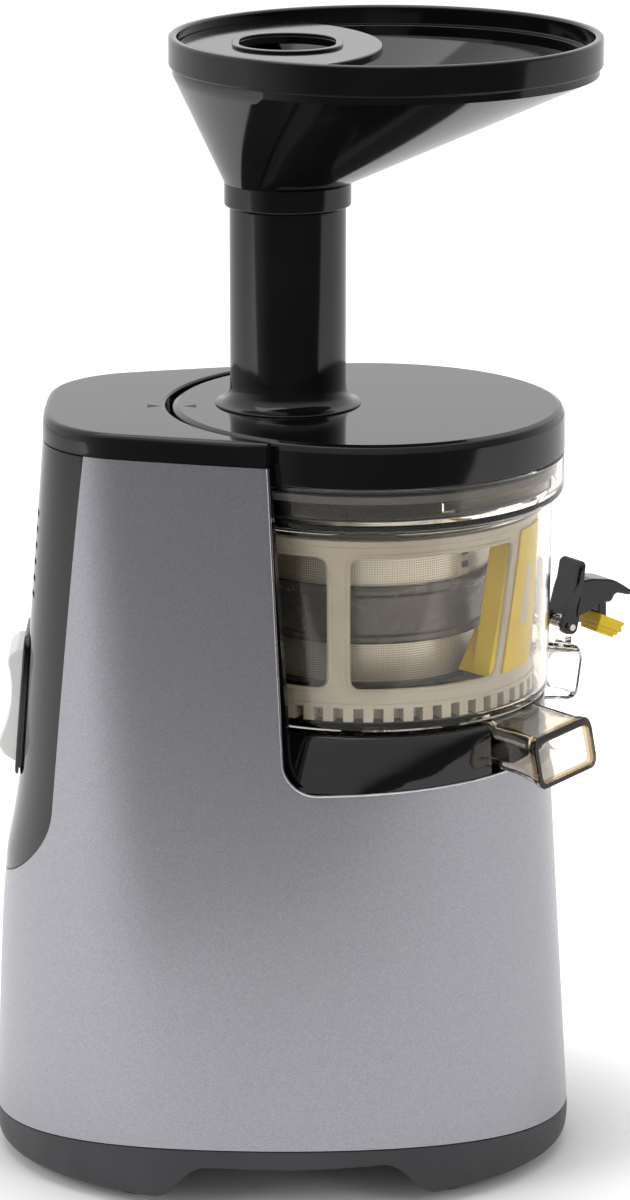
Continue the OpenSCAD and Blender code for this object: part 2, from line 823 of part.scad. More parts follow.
module gearbox_cover() {
  post_h = sill_z - wall - box_top_z - box_cover_t;
  color([0.66, 0.67, 0.7]) translate([0, 0, box_top_z]) difference() {
    union() {
      box_outline(box_r, box_cover_t);
      translate([0, 0, -4]) cylinder(r = 12.5, h = 6);
      translate([0, 0, box_cover_t - eps]) cylinder(r = 13, h = 3);
      translate([lay_x, lay_y, -4]) cylinder(r = 7, h = 6);
      for (a = [20, 160, 200, 340]) translate([34 * cos(a) - 6, 34 * sin(a), box_cover_t - eps])
        cylinder(r = 5, h = post_h);
    }
    translate([0, 0, -10]) cylinder(r = 9.5 + seat_fit, h = 15);
    translate([0, 0, -10]) cylinder(r = shaft_r + 1, h = 40);
    translate([lay_x, lay_y, -10]) cylinder(r = 5 + seat_fit, h = 12);
    for (p = cover_bolts) translate([p[0], p[1], -1]) cylinder(r = 2, h = 20, $fn = 24);
  }
}

module gearbox_screws() {
  color([0.7, 0.7, 0.72]) for (p = cover_bolts) translate([p[0], p[1], 0]) {
    translate([0, 0, box_top_z + box_cover_t]) cylinder(r = 3.4, h = 2.2);
    translate([0, 0, box_top_z - 10]) cylinder(r = 1.6 - seat_fit, h = 10 + box_cover_t + eps);
  }
}

module shaft_bearings() {
  color([0.8, 0.8, 0.82]) {
    translate([0, 0, box_z + 5]) bearing(9.5, shaft_r + run_fit, 6);
    translate([0, 0, box_top_z - 3.5]) bearing(9.5, shaft_r + run_fit, 8);
  }
}

module layshaft_bushes() {
  color([0.75, 0.6, 0.3]) translate([lay_x, lay_y, 0]) {
    translate([0, 0, box_z + 1]) ring(5, lay_shaft_r + run_fit, 6);
    translate([0, 0, box_top_z - 4]) ring(5, lay_shaft_r + run_fit, 6);
  }
}

lay_gear_phase = mesh_phase(lay_from_motor, lay_teeth);
lay_pinion_phase = lay_from_drive + 180;

module layshaft() {
  color([0.8, 0.8, 0.8]) translate([lay_x, lay_y, box_z + 1]) cylinder(r = lay_shaft_r, h = box_h);
}

// Intermediate gear and its pinion, cut from one piece
module layshaft_gear() {
  color([0.85, 0.83, 0.75]) translate([lay_x, lay_y, 0]) difference() {
    union() {
      translate([0, 0, first_z]) gear(lay_teeth, first_module, first_h, lay_gear_phase);
      translate([0, 0, first_z + first_h - eps])
        gear(pinion_teeth, second_module, second_z + second_h - first_z - first_h, lay_pinion_phase);
    }
    translate([0, 0, first_z - 1]) cylinder(r = lay_shaft_r, h = 60);
  }
}

module drive_shaft() {
  color([0.78, 0.78, 0.8]) {
    translate([0, 0, box_z + 5]) cylinder(r = shaft_r, h = hex_low_z - box_z - 5);
    translate([0, 0, hex_low_z - eps]) cylinder(r = hex_w / sqrt(3), h = hex_top_z - hex_low_z, $fn = 6);
  }
}

module output_gear() {
  color([0.85, 0.83, 0.75]) translate([0, 0, second_z]) difference() {
    union() {
      gear(output_teeth, second_module, second_h, lay_from_drive + 180 / output_teeth);
      translate([0, 0, second_h - eps]) cylinder(r = 9, h = 1.2);
    }
    translate([0, 0, -1]) cylinder(r = shaft_r, h = 30);
    for (a = [30 : 60 : 330]) rotate([0, 0, a]) translate([17.5, 0, 3]) cylinder(r = 5.5, h = 30);
  }
}

/* ---- drum ---- */

module drum() {
  floor_z = drum_base_z;
  color([0.85, 0.84, 0.8, 0.4]) difference() {
    union() {
      rotate_extrude() polygon([
        [drum_bore_r, floor_z], [drum_foot_r - 3.4, floor_z], [drum_foot_r - 1.1, floor_z + 0.9],
        [drum_foot_r, floor_z + 3.2], [drum_r, collar_low_z - 1.6], [collar_r - 1.2, collar_low_z],
        [collar_r, collar_low_z + 1.2], [collar_r, collar_top_z],
        [collar_in_r, collar_top_z], [collar_in_r, collar_low_z + drum_wall],
        [drum_r - drum_wall, collar_low_z - 0.6], [drum_foot_r - drum_wall, drum_floor_z + 1.2],
        [drum_foot_r - drum_wall - 1.2, drum_floor_z], [drum_bore_r + 1.8, drum_floor_z],
        [drum_bore_r + 1.8, drum_floor_z + hub_h], [drum_bore_r, drum_floor_z + hub_h]]);
      pulp_duct(0);
      juice_duct(0);
      juice_lug();
      bayonet_ramps();
    }
    pulp_duct(spout_wall);
    rotate([0, 0, pulp_angle]) translate([24, -7, floor_z - 4]) cube([14, 14, 12]);
    juice_duct(spout_wall);
    at_cap_pin() rotate([90, 0, 0]) cylinder(r = cap_pin_r, h = 60, center = true);
  }
}

// Height of the pulp duct's underside at a distance from the drum axis
function pulp_floor(r) = sill_z + 1 + (pulp_reach - r) * tan(pulp_slope);

// Duct under the floor and out through the pulp spout; a wall above zero gives its hollow
module pulp_duct(w) {
  top = seat_z - 0.8;
  rotate([0, 0, pulp_angle]) rotate([90, 0, 0]) linear_extrude(pulp_w - 2 * w, center = true)
    polygon(w == 0 ? [
      [16, pulp_floor(16)], [pulp_reach, pulp_floor(pulp_reach)], [pulp_reach, top],
      [drum_foot_r - 2.4, top + 0.9], [drum_foot_r - 2.4, drum_base_z + 0.8], [16, drum_base_z + 0.8]] : [
      [16 + w, pulp_floor(16 + w) + w], [pulp_reach + 1, pulp_floor(pulp_reach + 1) + w],
      [pulp_reach + 1, top - w], [drum_foot_r - 3, top - w + 0.9], [drum_foot_r - 3, drum_base_z],
      [16 + w, drum_base_z]]);
}

// Sump in the floor and the sloping juice spout; a wall above zero gives its hollow
module juice_duct(w) {
  roof_z = drum_floor_z + 6;
  lip_z = sill_z + 0.6;
  rotate([0, 0, juice_angle]) rotate([90, 0, 0]) linear_extrude(juice_w - 2 * w, center = true)
    polygon(w == 0 ? [
      [44, lip_z + 5.9], [juice_reach - 3, lip_z], [juice_reach, roof_z - 9],
      [drum_foot_r - 1.2, roof_z], [drum_foot_r - 1.2, drum_base_z + 0.8], [44, drum_base_z + 0.8]] : [
      [44 + w, lip_z + 5.9 + w], [juice_reach + 1, lip_z + w - 0.8], [juice_reach + 1, roof_z - 9 - w - 0.4],
      [drum_foot_r - 2.9, roof_z - w], [drum_foot_r - 2.9, drum_floor_z + 0.5],
      [44 + w, drum_floor_z + 0.5]]);
}

module at_cap_pin() {
  rotate([0, 0, juice_angle]) translate([cap_pin_reach, 0, cap_pin_z]) children();
}

// Lug on the juice spout that carries the cap's pin
module juice_lug() {
  at_cap_pin() rotate([90, 0, 0]) linear_extrude(6, center = true) union() {
    circle(3.2);
    polygon([[-3.2, 0], [3.2, 0], [2.4, -9.5], [-6, -8]]);
  }
}

module bayonet_ramps() {
  for (a = [0 : 90 : 270]) rotate([0, 0, a + 20]) translate([0, 0, collar_low_z + 6.2])
    rotate_extrude(angle = 34) translate([collar_in_r - 1.3, 0]) square([1.3 + eps, 2]);
}

module drum_seal() {
  color([0.85, 0.85, 0.82]) translate([0, 0, drum_floor_z + hub_h])
    ring(drum_bore_r + 1.8, shaft_r + run_fit, 1.6);
}

module pulp_seal() {
  color([0.75, 0.6, 0.15]) rotate([0, 0, pulp_angle])
    translate([26, -11, pulp_floor(26) + spout_wall + seat_fit])
    rotate([0, pulp_slope, 0]) cube([20, 22, 1.6]);
}

module cap_pin() {
  color([0.8, 0.8, 0.82]) at_cap_pin() rotate([90, 0, 0])
    cylinder(r = cap_pin_r, h = cap_w + 1, center = true);
}

/* ---- strainer ---- */

module strainer_frame() {
  low_in = mesh_low_r - mesh_t;
  top_in = mesh_top_r - mesh_t;
  color([0.42, 0.42, 0.44]) difference() {
    union() {
      translate([0, 0, strainer_floor_z]) ring(mesh_low_r, neck_r + 0.8, strainer_floor_t);
      rotate_extrude() polygon([
        [low_in - 1.2, mid_low_z], [mesh_low_r + 2.5, mid_low_z], [mesh_top_r + 1.6, mid_top_z - 3],
        [mesh_top_r + 2.2, mid_top_z - 1.6], [mesh_top_r + 2, mid_top_z], [top_in - 1.2, mid_top_z]]);
      translate([0, 0, window_top_z]) ring(mesh_top_r + 2.4, top_in - 1.2, 4);
      for (a = [0 : 45 : 315]) rotate([0, 0, a + 10]) {
        translate([low_in - 1.3, -1, strainer_floor_z + strainer_floor_t - eps])
          cube([1.2, 2, mid_low_z - strainer_floor_z - strainer_floor_t + 1]);
        translate([top_in - 1.3, -1, mid_top_z - eps]) cube([1.2, 2, window_top_z - mid_top_z + 1]);
      }
      for (a = [idler_angle - 90, idler_angle + 90]) rotate([0, 0, a])
        translate([34, 0, drum_floor_z + rest_gap])
          cylinder(r = 3, h = strainer_floor_z - drum_floor_z - rest_gap + 1);
      rotate([0, 0, pulp_angle]) translate([23, -8, drum_floor_z + rest_gap])
        cube([16, 16, strainer_floor_z - drum_floor_z - rest_gap + 1]);
    }
    rotate([0, 0, pulp_angle]) translate([24.5, -6.5, 150]) cube([13, 13, 40]);
    at_idler(0) translate([0, 0, strainer_floor_z - 1]) cylinder(r = 3, h = 10);
  }
}

module strainer_mesh() {
  color([0.78, 0.77, 0.72]) {
    translate([0, 0, strainer_floor_z + strainer_floor_t])
      ring(mesh_low_r, mesh_low_r - mesh_t, mid_low_z - strainer_floor_z - strainer_floor_t);
    translate([0, 0, mid_top_z]) ring(mesh_top_r, mesh_top_r - mesh_t, window_top_z - mid_top_z);
  }
}

module at_idler(z) {
  rotate([0, 0, idler_angle]) translate([idler_reach, 0, z]) children();
}

module idler_pin() {
  color([0.8, 0.8, 0.82]) {
    at_idler(gear_z - 0.9) cylinder(r = 4.6, h = 0.9 - rest_gap);
    at_idler(gear_z - 0.9) cylinder(r = 3, h = strainer_floor_z + strainer_floor_t - gear_z + 0.9);
  }
}

auger_phase = idler_angle;
idler_phase = mesh_phase(idler_angle, idler_teeth);
ring_phase = idler_angle - off_line(idler_angle, idler_phase, idler_teeth) * 360 / ring_teeth;

module idler_pinion() {
  color([0.9, 0.88, 0.8]) at_idler(gear_z) rotate([0, 0, -idler_angle]) difference() {
    gear(idler_teeth, drum_module, gear_h - rest_gap, idler_phase);
    translate([0, 0, -1]) cylinder(r = 3 + run_fit, h = 20);
  }
}

/* ---- brush ---- */

module brush_cage() {
  pitch_r = ring_teeth * drum_module / 2;
  color([0.86, 0.83, 0.74]) difference() {
    union() {
      translate([0, 0, drum_floor_z + rest_gap]) difference() {
        cylinder(r = cage_low_r, h = gear_z + gear_h - drum_floor_z + 3);
        translate([0, 0, gear_h + 1.4 + 0.5]) cylinder(r = cage_low_r - 2.4, h = 20);
      }
      cage_wall();
    }
    rotate([0, 0, ring_phase]) translate([0, 0, drum_floor_z - 1]) linear_extrude(12)
      polygon(wheel(ring_teeth, drum_module, pitch_r - drum_module * 0.8, pitch_r + drum_module,
        -tooth_play / 2));
    for (i = [0 : window_count - 1]) rotate([0, 0, i * 360 / window_count + 16])
      window_cut(360 / window_count - 17);
  }
}

module cage_wall() {
  low_z = gear_z + gear_h + 2;
  rotate_extrude() polygon([
    [cage_low_r - 2.2, low_z], [cage_low_r, low_z], [cage_top_r, strainer_top_z - 2],
    [cage_top_r, strainer_top_z], [cage_top_r - 3, strainer_top_z], [cage_top_r - 3, strainer_top_z - 3],
    [cage_top_r - 2.2, strainer_top_z - 4]]);
}

// One window, with slanted ends like the posts between the windows
module window_cut(angle) {
  translate([0, 0, window_low_z + 2]) rotate_extrude(angle = angle)
    translate([cage_low_r - 8, 0]) square([16, window_top_z - window_low_z - 4]);
}

// Silicone wiper blades in the posts: one set on the strainer, one on the drum wall
module brush_wipers() {
  color([0.85, 0.68, 0.2]) for (i = [0 : window_count - 1])
    rotate([0, 0, i * 360 / window_count + 7.5]) {
      translate([mesh_top_r + 2.8, -1.4, window_low_z])
        cube([cage_low_r - 2.2 - mesh_top_r - 2.8 - 0.4, 2.8, window_top_z - window_low_z - 1]);
    }
}

/* ---- auger ---- */

module auger() {
  cone_z = strainer_floor_z + strainer_floor_t + 0.8;
  color([0.2, 0.2, 0.21]) difference() {
    union() {
      translate([0, 0, gear_z]) gear(auger_teeth, drum_module, gear_h, auger_phase);
      translate([0, 0, gear_z + gear_h - eps]) cylinder(r = neck_r - 0.2, h = cone_z - gear_z - gear_h + eps);
      translate([0, 0, cone_z - eps]) cylinder(r1 = 27, r2 = 14, h = auger_top_z - 8 - cone_z);
      translate([0, 0, auger_top_z - 8 - 2 * eps]) cylinder(r1 = 14, r2 = 9, h = 8);
      translate([0, 0, auger_top_z - 3]) cylinder(r = auger_pin_r, h = 12);
    }
    translate([0, 0, gear_z - 1])
      cylinder(r = drum_bore_r + 1.8 + 0.6, h = drum_floor_z + hub_h + 3.4 - gear_z + 1);
    translate([0, 0, gear_z - 1])
      cylinder(r = (hex_w + 0.6) / sqrt(3), h = hex_top_z + 1.5 - gear_z + 1, $fn = 6);
  }
}

// Two flights wound round the core
module auger_flights() {
  cone_z = strainer_floor_z + strainer_floor_t + 0.8;
  h = auger_top_z - 10 - cone_z;
  color([0.22, 0.22, 0.23]) moulded() difference() {
    translate([0, 0, cone_z]) linear_extrude(h, twist = -330, slices = 26) union() {
      translate([-flight_r + 1, -2.6]) square([2 * flight_r - 2, 5.2]);
      for (s = [-1, 1]) translate([s * (flight_r - 2.6), 0]) circle(2.6, $fn = 6);
    }
    translate([0, 0, cone_z - 1])
      cylinder(r1 = 27 + seat_fit + 0.3, r2 = 14 + seat_fit, h = auger_top_z - 7 - cone_z);
    translate([0, 0, auger_top_z - 12]) cylinder(r = 14.2, h = 20);
    translate([0, 0, cone_z - 1]) cylinder(r = 16, h = 60);
  }
}

/* ---- lid and hopper ---- */

module lid() {
  top = top_z;
  skirt_z = collar_low_z + 3;
  color([0.05, 0.05, 0.06]) difference() {
    union() {
      rotate_extrude() polygon([
        [lid_r - wall, lid_z], [lid_r, lid_z], [lid_r - 0.6, top - 3], [lid_r - 1.6, top - 0.9],
        [lid_r - 3.6, top], [0, top], [0, top - wall], [lid_r - wall - 4.2, top - wall],
        [collar_in_r - 4.8, top - wall - 1], [collar_in_r - 4.8, skirt_z], [collar_in_r - 2.2, skirt_z],
        [collar_in_r - 2.2, top - wall - 1], [lid_r - wall, top - wall - 2]]);
      for (a = [0 : 90 : 270]) rotate([0, 0, a + 24]) translate([0, 0, skirt_z])
        rotate_extrude(angle = 20) translate([collar_in_r - 2.3, 0]) square([1.9, 2]);
      translate([0, 0, auger_top_z + 2]) cylinder(r = 8.4, h = top - auger_top_z - 3);
    }
    at_tube() translate([0, 0, auger_top_z]) cylinder(r = tube_r + seat_fit, h = far);
    translate([0, 0, auger_top_z - 1]) cylinder(r = auger_pin_r + run_fit, h = 12);
  }
}

module at_tube() {
  translate([-tube_back, 0, 0]) children();
}

// Feed tube with the flared foot that stands on the lid
module feed_tube() {
  color([0.05, 0.05, 0.06]) at_tube() difference() {
    union() {
      translate([0, 0, auger_top_z + 6]) cylinder(r = tube_r, h = tube_top_z - auger_top_z - 6);
      translate([0, 0, top_z + seat_fit]) rotate_extrude() polygon([
        [0, 0], [tube_r + 5.4, 0], [tube_r + 3.4, 1], [tube_r + 1.4, 2.9], [tube_r, 6], [0, 6]]);
    }
    translate([0, 0, auger_top_z]) cylinder(r = tube_bore_r, h = far);
  }
}

module lid_gasket() {
  color([0.8, 0.8, 0.78]) translate([0, 0, collar_low_z + 9])
    ring(collar_in_r - 0.1, collar_in_r - 2.2 + seat_fit, 2.6);
}

module lid_magnet() {
  magnet_gap = 0.15;
  color([0.5, 0.5, 0.5]) rotate([0, 0, 180])
    translate([collar_in_r - 2.2 + magnet_gap, -5, lid_z + 3]) cube([1.5, 10, 6]);
}

// Spigot and collar of the hopper, which slide on the feed tube
module hopper_neck() {
  low_z = tube_top_z + rest_gap;
  color([0.05, 0.05, 0.06]) at_tube() difference() {
    union() {
      translate([0, 0, low_z - spigot_len]) cylinder(r = tube_bore_r - 0.3, h = spigot_len + 1);
      translate([0, 0, low_z]) cylinder(r = hopper_neck_r, h = neck_top_z - low_z);
    }
    translate([0, 0, low_z - spigot_len - 1]) cylinder(r = tube_bore_r - 2.6, h = far);
  }
}

module hopper() {
  color([0.06, 0.06, 0.07]) moulded() difference() {
    union() {
      hull() {
        translate([-tube_back, 0, 0]) level(neck_top_z) circle(hopper_neck_r, $fn = 80);
        translate([rim_front, 0, 0]) level(bowl_z) circle(rim_r - 1.2, $fn = 96);
      }
      translate([rim_front, 0, bowl_z]) cylinder(r = rim_r - 1.2, h = 3, $fn = 96);
      translate([rim_front, 0, bowl_z + 2.8]) cylinder(r = rim_r, h = rim_band_h - 2.8, $fn = 96);
    }
    hull() {
      translate([-tube_back, 0, 0]) level(neck_top_z - 1) circle(tube_bore_r - 2.6, $fn = 80);
      translate([rim_front, 0, 0]) level(bowl_z + hopper_wall) circle(hopper_in_r - 3, $fn = 96);
    }
    translate([rim_front, 0, bowl_z + hopper_wall]) cylinder(r = hopper_in_r - 3, h = 30, $fn = 96);
    translate([rim_front, 0, rim_z - guard_drop - guard_t - 0.1]) cylinder(r = hopper_in_r, h = 30, $fn = 96);
  }
}

module hopper_guard() {
  color([0.07, 0.07, 0.08]) translate([0, 0, rim_z - guard_drop - guard_t]) difference() {
    intersection() {
      translate([rim_front, 0, 0]) cylinder(r = hopper_in_r - rest_gap, h = guard_t);
      translate([-rim_r + 12.6, 0, -1]) cylinder(r = 67, h = 10);
    }
    translate([-tube_back, 0, -1]) {
      for (s = [-1, 1]) translate([0, s * 4, 0]) cylinder(r = 16.5, h = 10);
      translate([-16.5, -4, 0]) cube([33, 8, 10]);
    }
  }
}

/* ---- juice cap ---- */

// Local frame of the cap: +X outwards along the spout, +Z up, origin on the pin
module cap_plate(width) {
  at_cap_pin() rotate([90, 0, 0]) linear_extrude(width, center = true) children();
}

module cap_lever() {
  color([0.05, 0.05, 0.06]) difference() {
    union() {
      cap_plate(cap_w) union() {
        circle(4);
        polygon([[-3.6, 1.2], [2.6, -2.6], [4.6, 4], [7, 24.4], [3.1, 25.4], [-0.6, 8]]);
        translate([5.05, 24.9]) circle(2);
        polygon([[4, 12], [10, 13.2], [19, 11.6], [27.2, 7.4], [28.6, 9.6], [20, 14.4], [10, 16.4],
          [5, 15.6]]);
      }
      cap_plate(8) polygon([[14.2, 2.2], [19.6, 0], [20.4, 12], [14, 14]]);
    }
    at_cap_pin() rotate([90, 0, 0]) cylinder(r = 5.4, h = 6.8, center = true);
    at_cap_pin() rotate([90, 0, 0]) cylinder(r = cap_pin_r + run_fit, h = 40, center = true);
  }
}

// Silicone plug under the lever; closed, it lies on the spout's mouth
module cap_plug() {
  color([0.88, 0.75, 0.05]) difference() {
    cap_plate(juice_w - 2 * spout_wall - 3) translate([18.4, -1.5]) rotate(-24.8)
      translate([-6, -2]) square([12, 4]);
    cap_plate(8 + 2 * seat_fit)
      polygon([[14.1, 2.2], [14.1, -0.5], [19.7, -1], [19.7, 0], [20.4, 12], [14, 14]]);
  }
}

base_shell();
foot_pads();
base_screws();
silver_cover();
rear_panel();
top_cover();
drum_seat();
bay_wall();
seat_seal();
switch_bezel();
switch_body();
cord_gland();
circuit_board();
run_capacitor();
control_relay();
reed_sensor();
motor_mounts();
motor_bracket();
motor_can();
stator();
motor_windings();
motor_bearings();
gearbox_case();
gearbox_cover();
gearbox_screws();
shaft_bearings();
layshaft_bushes();
rocker();
rotor();
rotor_shaft();
cooling_fan();
motor_pinion();
layshaft();
layshaft_gear();
drive_shaft();
output_gear();
drum();
drum_seal();
pulp_seal();
cap_pin();
strainer_frame();
strainer_mesh();
idler_pin();
idler_pinion();
brush_cage();
brush_wipers();
auger();
auger_flights();
lid();
feed_tube();
lid_gasket();
lid_magnet();
hopper_neck();
hopper();
hopper_guard();
cap_lever();
cap_plug();
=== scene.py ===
import json
import math

import bmesh
import bpy
import numpy as np
from mathutils import Matrix, Vector


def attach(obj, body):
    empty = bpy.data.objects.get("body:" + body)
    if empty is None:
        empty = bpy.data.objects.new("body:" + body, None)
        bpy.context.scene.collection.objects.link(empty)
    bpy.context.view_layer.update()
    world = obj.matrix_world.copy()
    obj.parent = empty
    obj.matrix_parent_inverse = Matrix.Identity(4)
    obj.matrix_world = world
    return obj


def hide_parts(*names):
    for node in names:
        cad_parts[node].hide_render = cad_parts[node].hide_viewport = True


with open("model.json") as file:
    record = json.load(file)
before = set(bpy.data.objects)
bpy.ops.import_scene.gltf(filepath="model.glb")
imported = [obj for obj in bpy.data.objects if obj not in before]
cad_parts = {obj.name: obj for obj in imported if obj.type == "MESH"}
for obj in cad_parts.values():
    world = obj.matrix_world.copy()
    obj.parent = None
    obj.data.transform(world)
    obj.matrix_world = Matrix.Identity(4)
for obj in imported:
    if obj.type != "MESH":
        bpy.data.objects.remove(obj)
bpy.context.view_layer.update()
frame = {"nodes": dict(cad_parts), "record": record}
mm = 0.001


def placed(name, data):
    piece = bpy.data.objects.new(name, data)
    bpy.context.collection.objects.link(piece)
    return piece


# camera, in millimetres and degrees
view = {"eye": (-18.3, -1657.6, 637.5), "tilt": 14.8, "lens": 145.73}
camera = placed("camera", bpy.data.cameras.new("camera"))
camera.data.lens = view["lens"]
camera.data.clip_end = 20
camera.location = Vector(view["eye"]) * mm
camera.rotation_euler = (math.radians(90 - view["tilt"]), 0, 0)
bpy.context.scene.camera = camera
bpy.context.scene.view_settings.view_transform = "Standard"

# soft boxes: place, aim and size in metres, then watts
studio = {
    "over": ((-0.1, 0.1, 1.7), (0, 0, 0.2), (1.6, 1.2), 9),
    "left": ((-1.5, -0.9, 0.9), (0, 0, 0.2), (0.7, 1.4), 16),
    "right": ((1.3, -1.3, 0.8), (0, 0, 0.2), (0.5, 1.3), 9),
}
for lampName, (place, aim, size, watts) in studio.items():
    lamp = bpy.data.lights.new(lampName, "AREA")
    lamp.shape = "RECTANGLE"
    lamp.size, lamp.size_y = size
    lamp.energy = watts
    holder = placed(lampName, lamp)
    holder.location = place
    holder.rotation_euler = (Vector(aim) - Vector(place)).to_track_quat("-Z", "Y").to_euler()
    holder.visible_glossy = lampName == "over"


def addNode(tree, kind, inputs=(), **settings):
    # inputs give a socket a plain value or another node's output
    node = tree.nodes.new("ShaderNode" + kind)
    for key, value in settings.items():
        setattr(node, key, value)
    for key, value in dict(inputs).items():
        if isinstance(value, bpy.types.NodeSocket):
            tree.links.new(value, node.inputs[key])
        else:
            node.inputs[key].default_value = value
    return node


def ranged(tree, value, spans, kind="LINEAR"):
    # spans are from min, from max, to min and to max
    node = addNode(tree, "MapRange", {"Value": value}, interpolation_type=kind)
    for socket, number in zip(("From Min", "From Max", "To Min", "To Max"), spans):
        node.inputs[socket].default_value = number
    return node.outputs[0]


def sky(ambient, front, top):
    # pale room; the camera, glass and gloss see the white backdrop, dimmer towards the front
    world = bpy.data.worlds.new("room")
    bpy.context.scene.world = world
    world.use_nodes = True
    tree = world.node_tree
    tree.nodes.clear()
    path = addNode(tree, "LightPath").outputs
    place = addNode(tree, "TexCoord").outputs["Generated"]
    back = addNode(tree, "VectorMath", {0: place, 1: (-0.3, 0.95, 0)}, operation="DOT_PRODUCT")
    depth = ranged(tree, back.outputs["Value"], (-0.7, 0.6, front, 1.0), "SMOOTHSTEP")
    split = addNode(tree, "SeparateXYZ", {0: place})
    lift = ranged(tree, split.outputs["Z"], (0.25, 0.75, 0.0, top), "SMOOTHSTEP")
    both = addNode(tree, "Math", {0: depth, 1: lift}, operation="ADD", use_clamp=True)
    seen = addNode(tree, "Math", {0: path["Is Camera Ray"], 1: path["Is Transmission Ray"]},
                   operation="MAXIMUM")
    dim, gloss, bright = [
        addNode(tree, "Background", {"Strength": strength, "Color": (1, 1, 1, 1)}).outputs[0]
        for strength in (ambient, both.outputs[0], 1.0)]
    mixed = addNode(tree, "MixShader", {0: path["Is Glossy Ray"], 1: dim, 2: gloss})
    whole = addNode(tree, "MixShader", {0: seen.outputs[0], 1: mixed.outputs[0], 2: bright})
    addNode(tree, "OutputWorld", {"Surface": whole.outputs[0]})


sky(ambient=0.5, front=0.07, top=0.75)
print("camera and studio light set")


# ---- finishes ----

def paint(red, green, blue):
    # 0-255 screen values to a linear colour
    steps = [(v / 255) / 12.92 if v < 10.3 else ((v / 255 + 0.055) / 1.055) ** 2.4
             for v in (red, green, blue)]
    return (*steps, 1)


def newFinish(name, shade, roughness, metallic=0.0, **sockets):
    finish = bpy.data.materials.new(name)
    finish.use_nodes = True
    shader = finish.node_tree.nodes["Principled BSDF"]
    shader.inputs["Base Color"].default_value = paint(*shade)
    shader.inputs["Roughness"].default_value = roughness
    shader.inputs["Metallic"].default_value = metallic
    for socket, value in sockets.items():
        shader.inputs[socket.replace("_", " ")].default_value = value
    finish["shade"] = shade
    return finish


def objectPlace(finish, stretch=(1, 1, 1)):
    tree = finish.node_tree
    place = addNode(tree, "TexCoord").outputs["Object"]
    return addNode(tree, "Mapping", {"Vector": place, "Scale": stretch}).outputs["Vector"]


def speckle(finish, size, detail=2.0, stretch=(1, 1, 1)):
    # noise with features of about that many millimetres
    return addNode(finish.node_tree, "TexNoise", {
        "Vector": objectPlace(finish, stretch), "Scale": 1 / (size * mm), "Detail": detail}).outputs[0]


def spread(finish, value, low, high, socket=None, start=0.3, end=0.7):
    tree = finish.node_tree
    result = ranged(tree, value, (start, end, low, high))
    if socket:
        tree.links.new(result, tree.nodes["Principled BSDF"].inputs[socket])
    return result


def tinted(finish, value, other, start=0.35, end=0.65, shade=None):
    # drifts between the finish's own colour, or a given one, and another
    tree = finish.node_tree
    mix = addNode(tree, "Mix", {0: spread(finish, value, 0, 1, None, start, end),
                                6: paint(*(shade or finish["shade"])), 7: paint(*other)}, data_type="RGBA")
    tree.links.new(mix.outputs[2], tree.nodes["Principled BSDF"].inputs["Base Color"])


def relief(finish, value, height, strength=1.0):
    # height in millimetres
    tree = finish.node_tree
    bump = addNode(tree, "Bump", {"Height": value, "Strength": strength, "Distance": height * mm})
    tree.links.new(bump.outputs[0], tree.nodes["Principled BSDF"].inputs["Normal"])


def moulded(name, shade, other, roughness, grain=0.5, height=0.02, **sockets):
    # moulded plastic: faint drift of tone, fine grain, uneven sheen
    finish = newFinish(name, shade, roughness, **sockets)
    tinted(finish, speckle(finish, 24, 4), other)
    spread(finish, speckle(finish, 9, 3), roughness * 0.88, roughness * 1.12, "Roughness")
    relief(finish, speckle(finish, grain, 3), height, 0.5)
    return finish


def ground(name, shade, other, roughness, stretch=(1, 1, 12), fine=0.35, height=0.008):
    # turned or ground metal with fine lines
    finish = newFinish(name, shade, roughness, 1.0)
    lines = speckle(finish, fine * 6, 5, stretch)
    tinted(finish, lines, other)
    spread(finish, lines, roughness * 0.8, roughness * 1.25, "Roughness")
    relief(finish, lines, height, 0.6)
    return finish


def silverPaint():
    # metallic paint: tiny flakes under a clear coat
    finish = newFinish("silverPaint", (154, 153, 160), 0.4, 0.82, Coat_Weight=0.4, Coat_Roughness=0.12)
    tree = finish.node_tree
    flakes = addNode(tree, "TexVoronoi", {"Vector": objectPlace(finish), "Scale": 1 / (0.26 * mm)})
    tone = addNode(tree, "SeparateColor", {0: flakes.outputs["Color"]}).outputs
    tinted(finish, tone[0], (172, 171, 177), 0.1, 0.95)
    spread(finish, tone[1], 0.3, 0.4, "Roughness", 0, 1)
    relief(finish, tone[2], 0.003, 0.15)
    return finish


def clearPlastic(name, shade, roughness=0.03, bend=1.46):
    # faint ripples and hazing of a moulded clear part
    finish = newFinish(name, shade, roughness, IOR=bend, Transmission_Weight=1.0)
    spread(finish, speckle(finish, 14, 3), roughness * 0.5, roughness * 2.2, "Roughness")
    relief(finish, speckle(finish, 18, 1), 0.03, 0.25)
    return finish


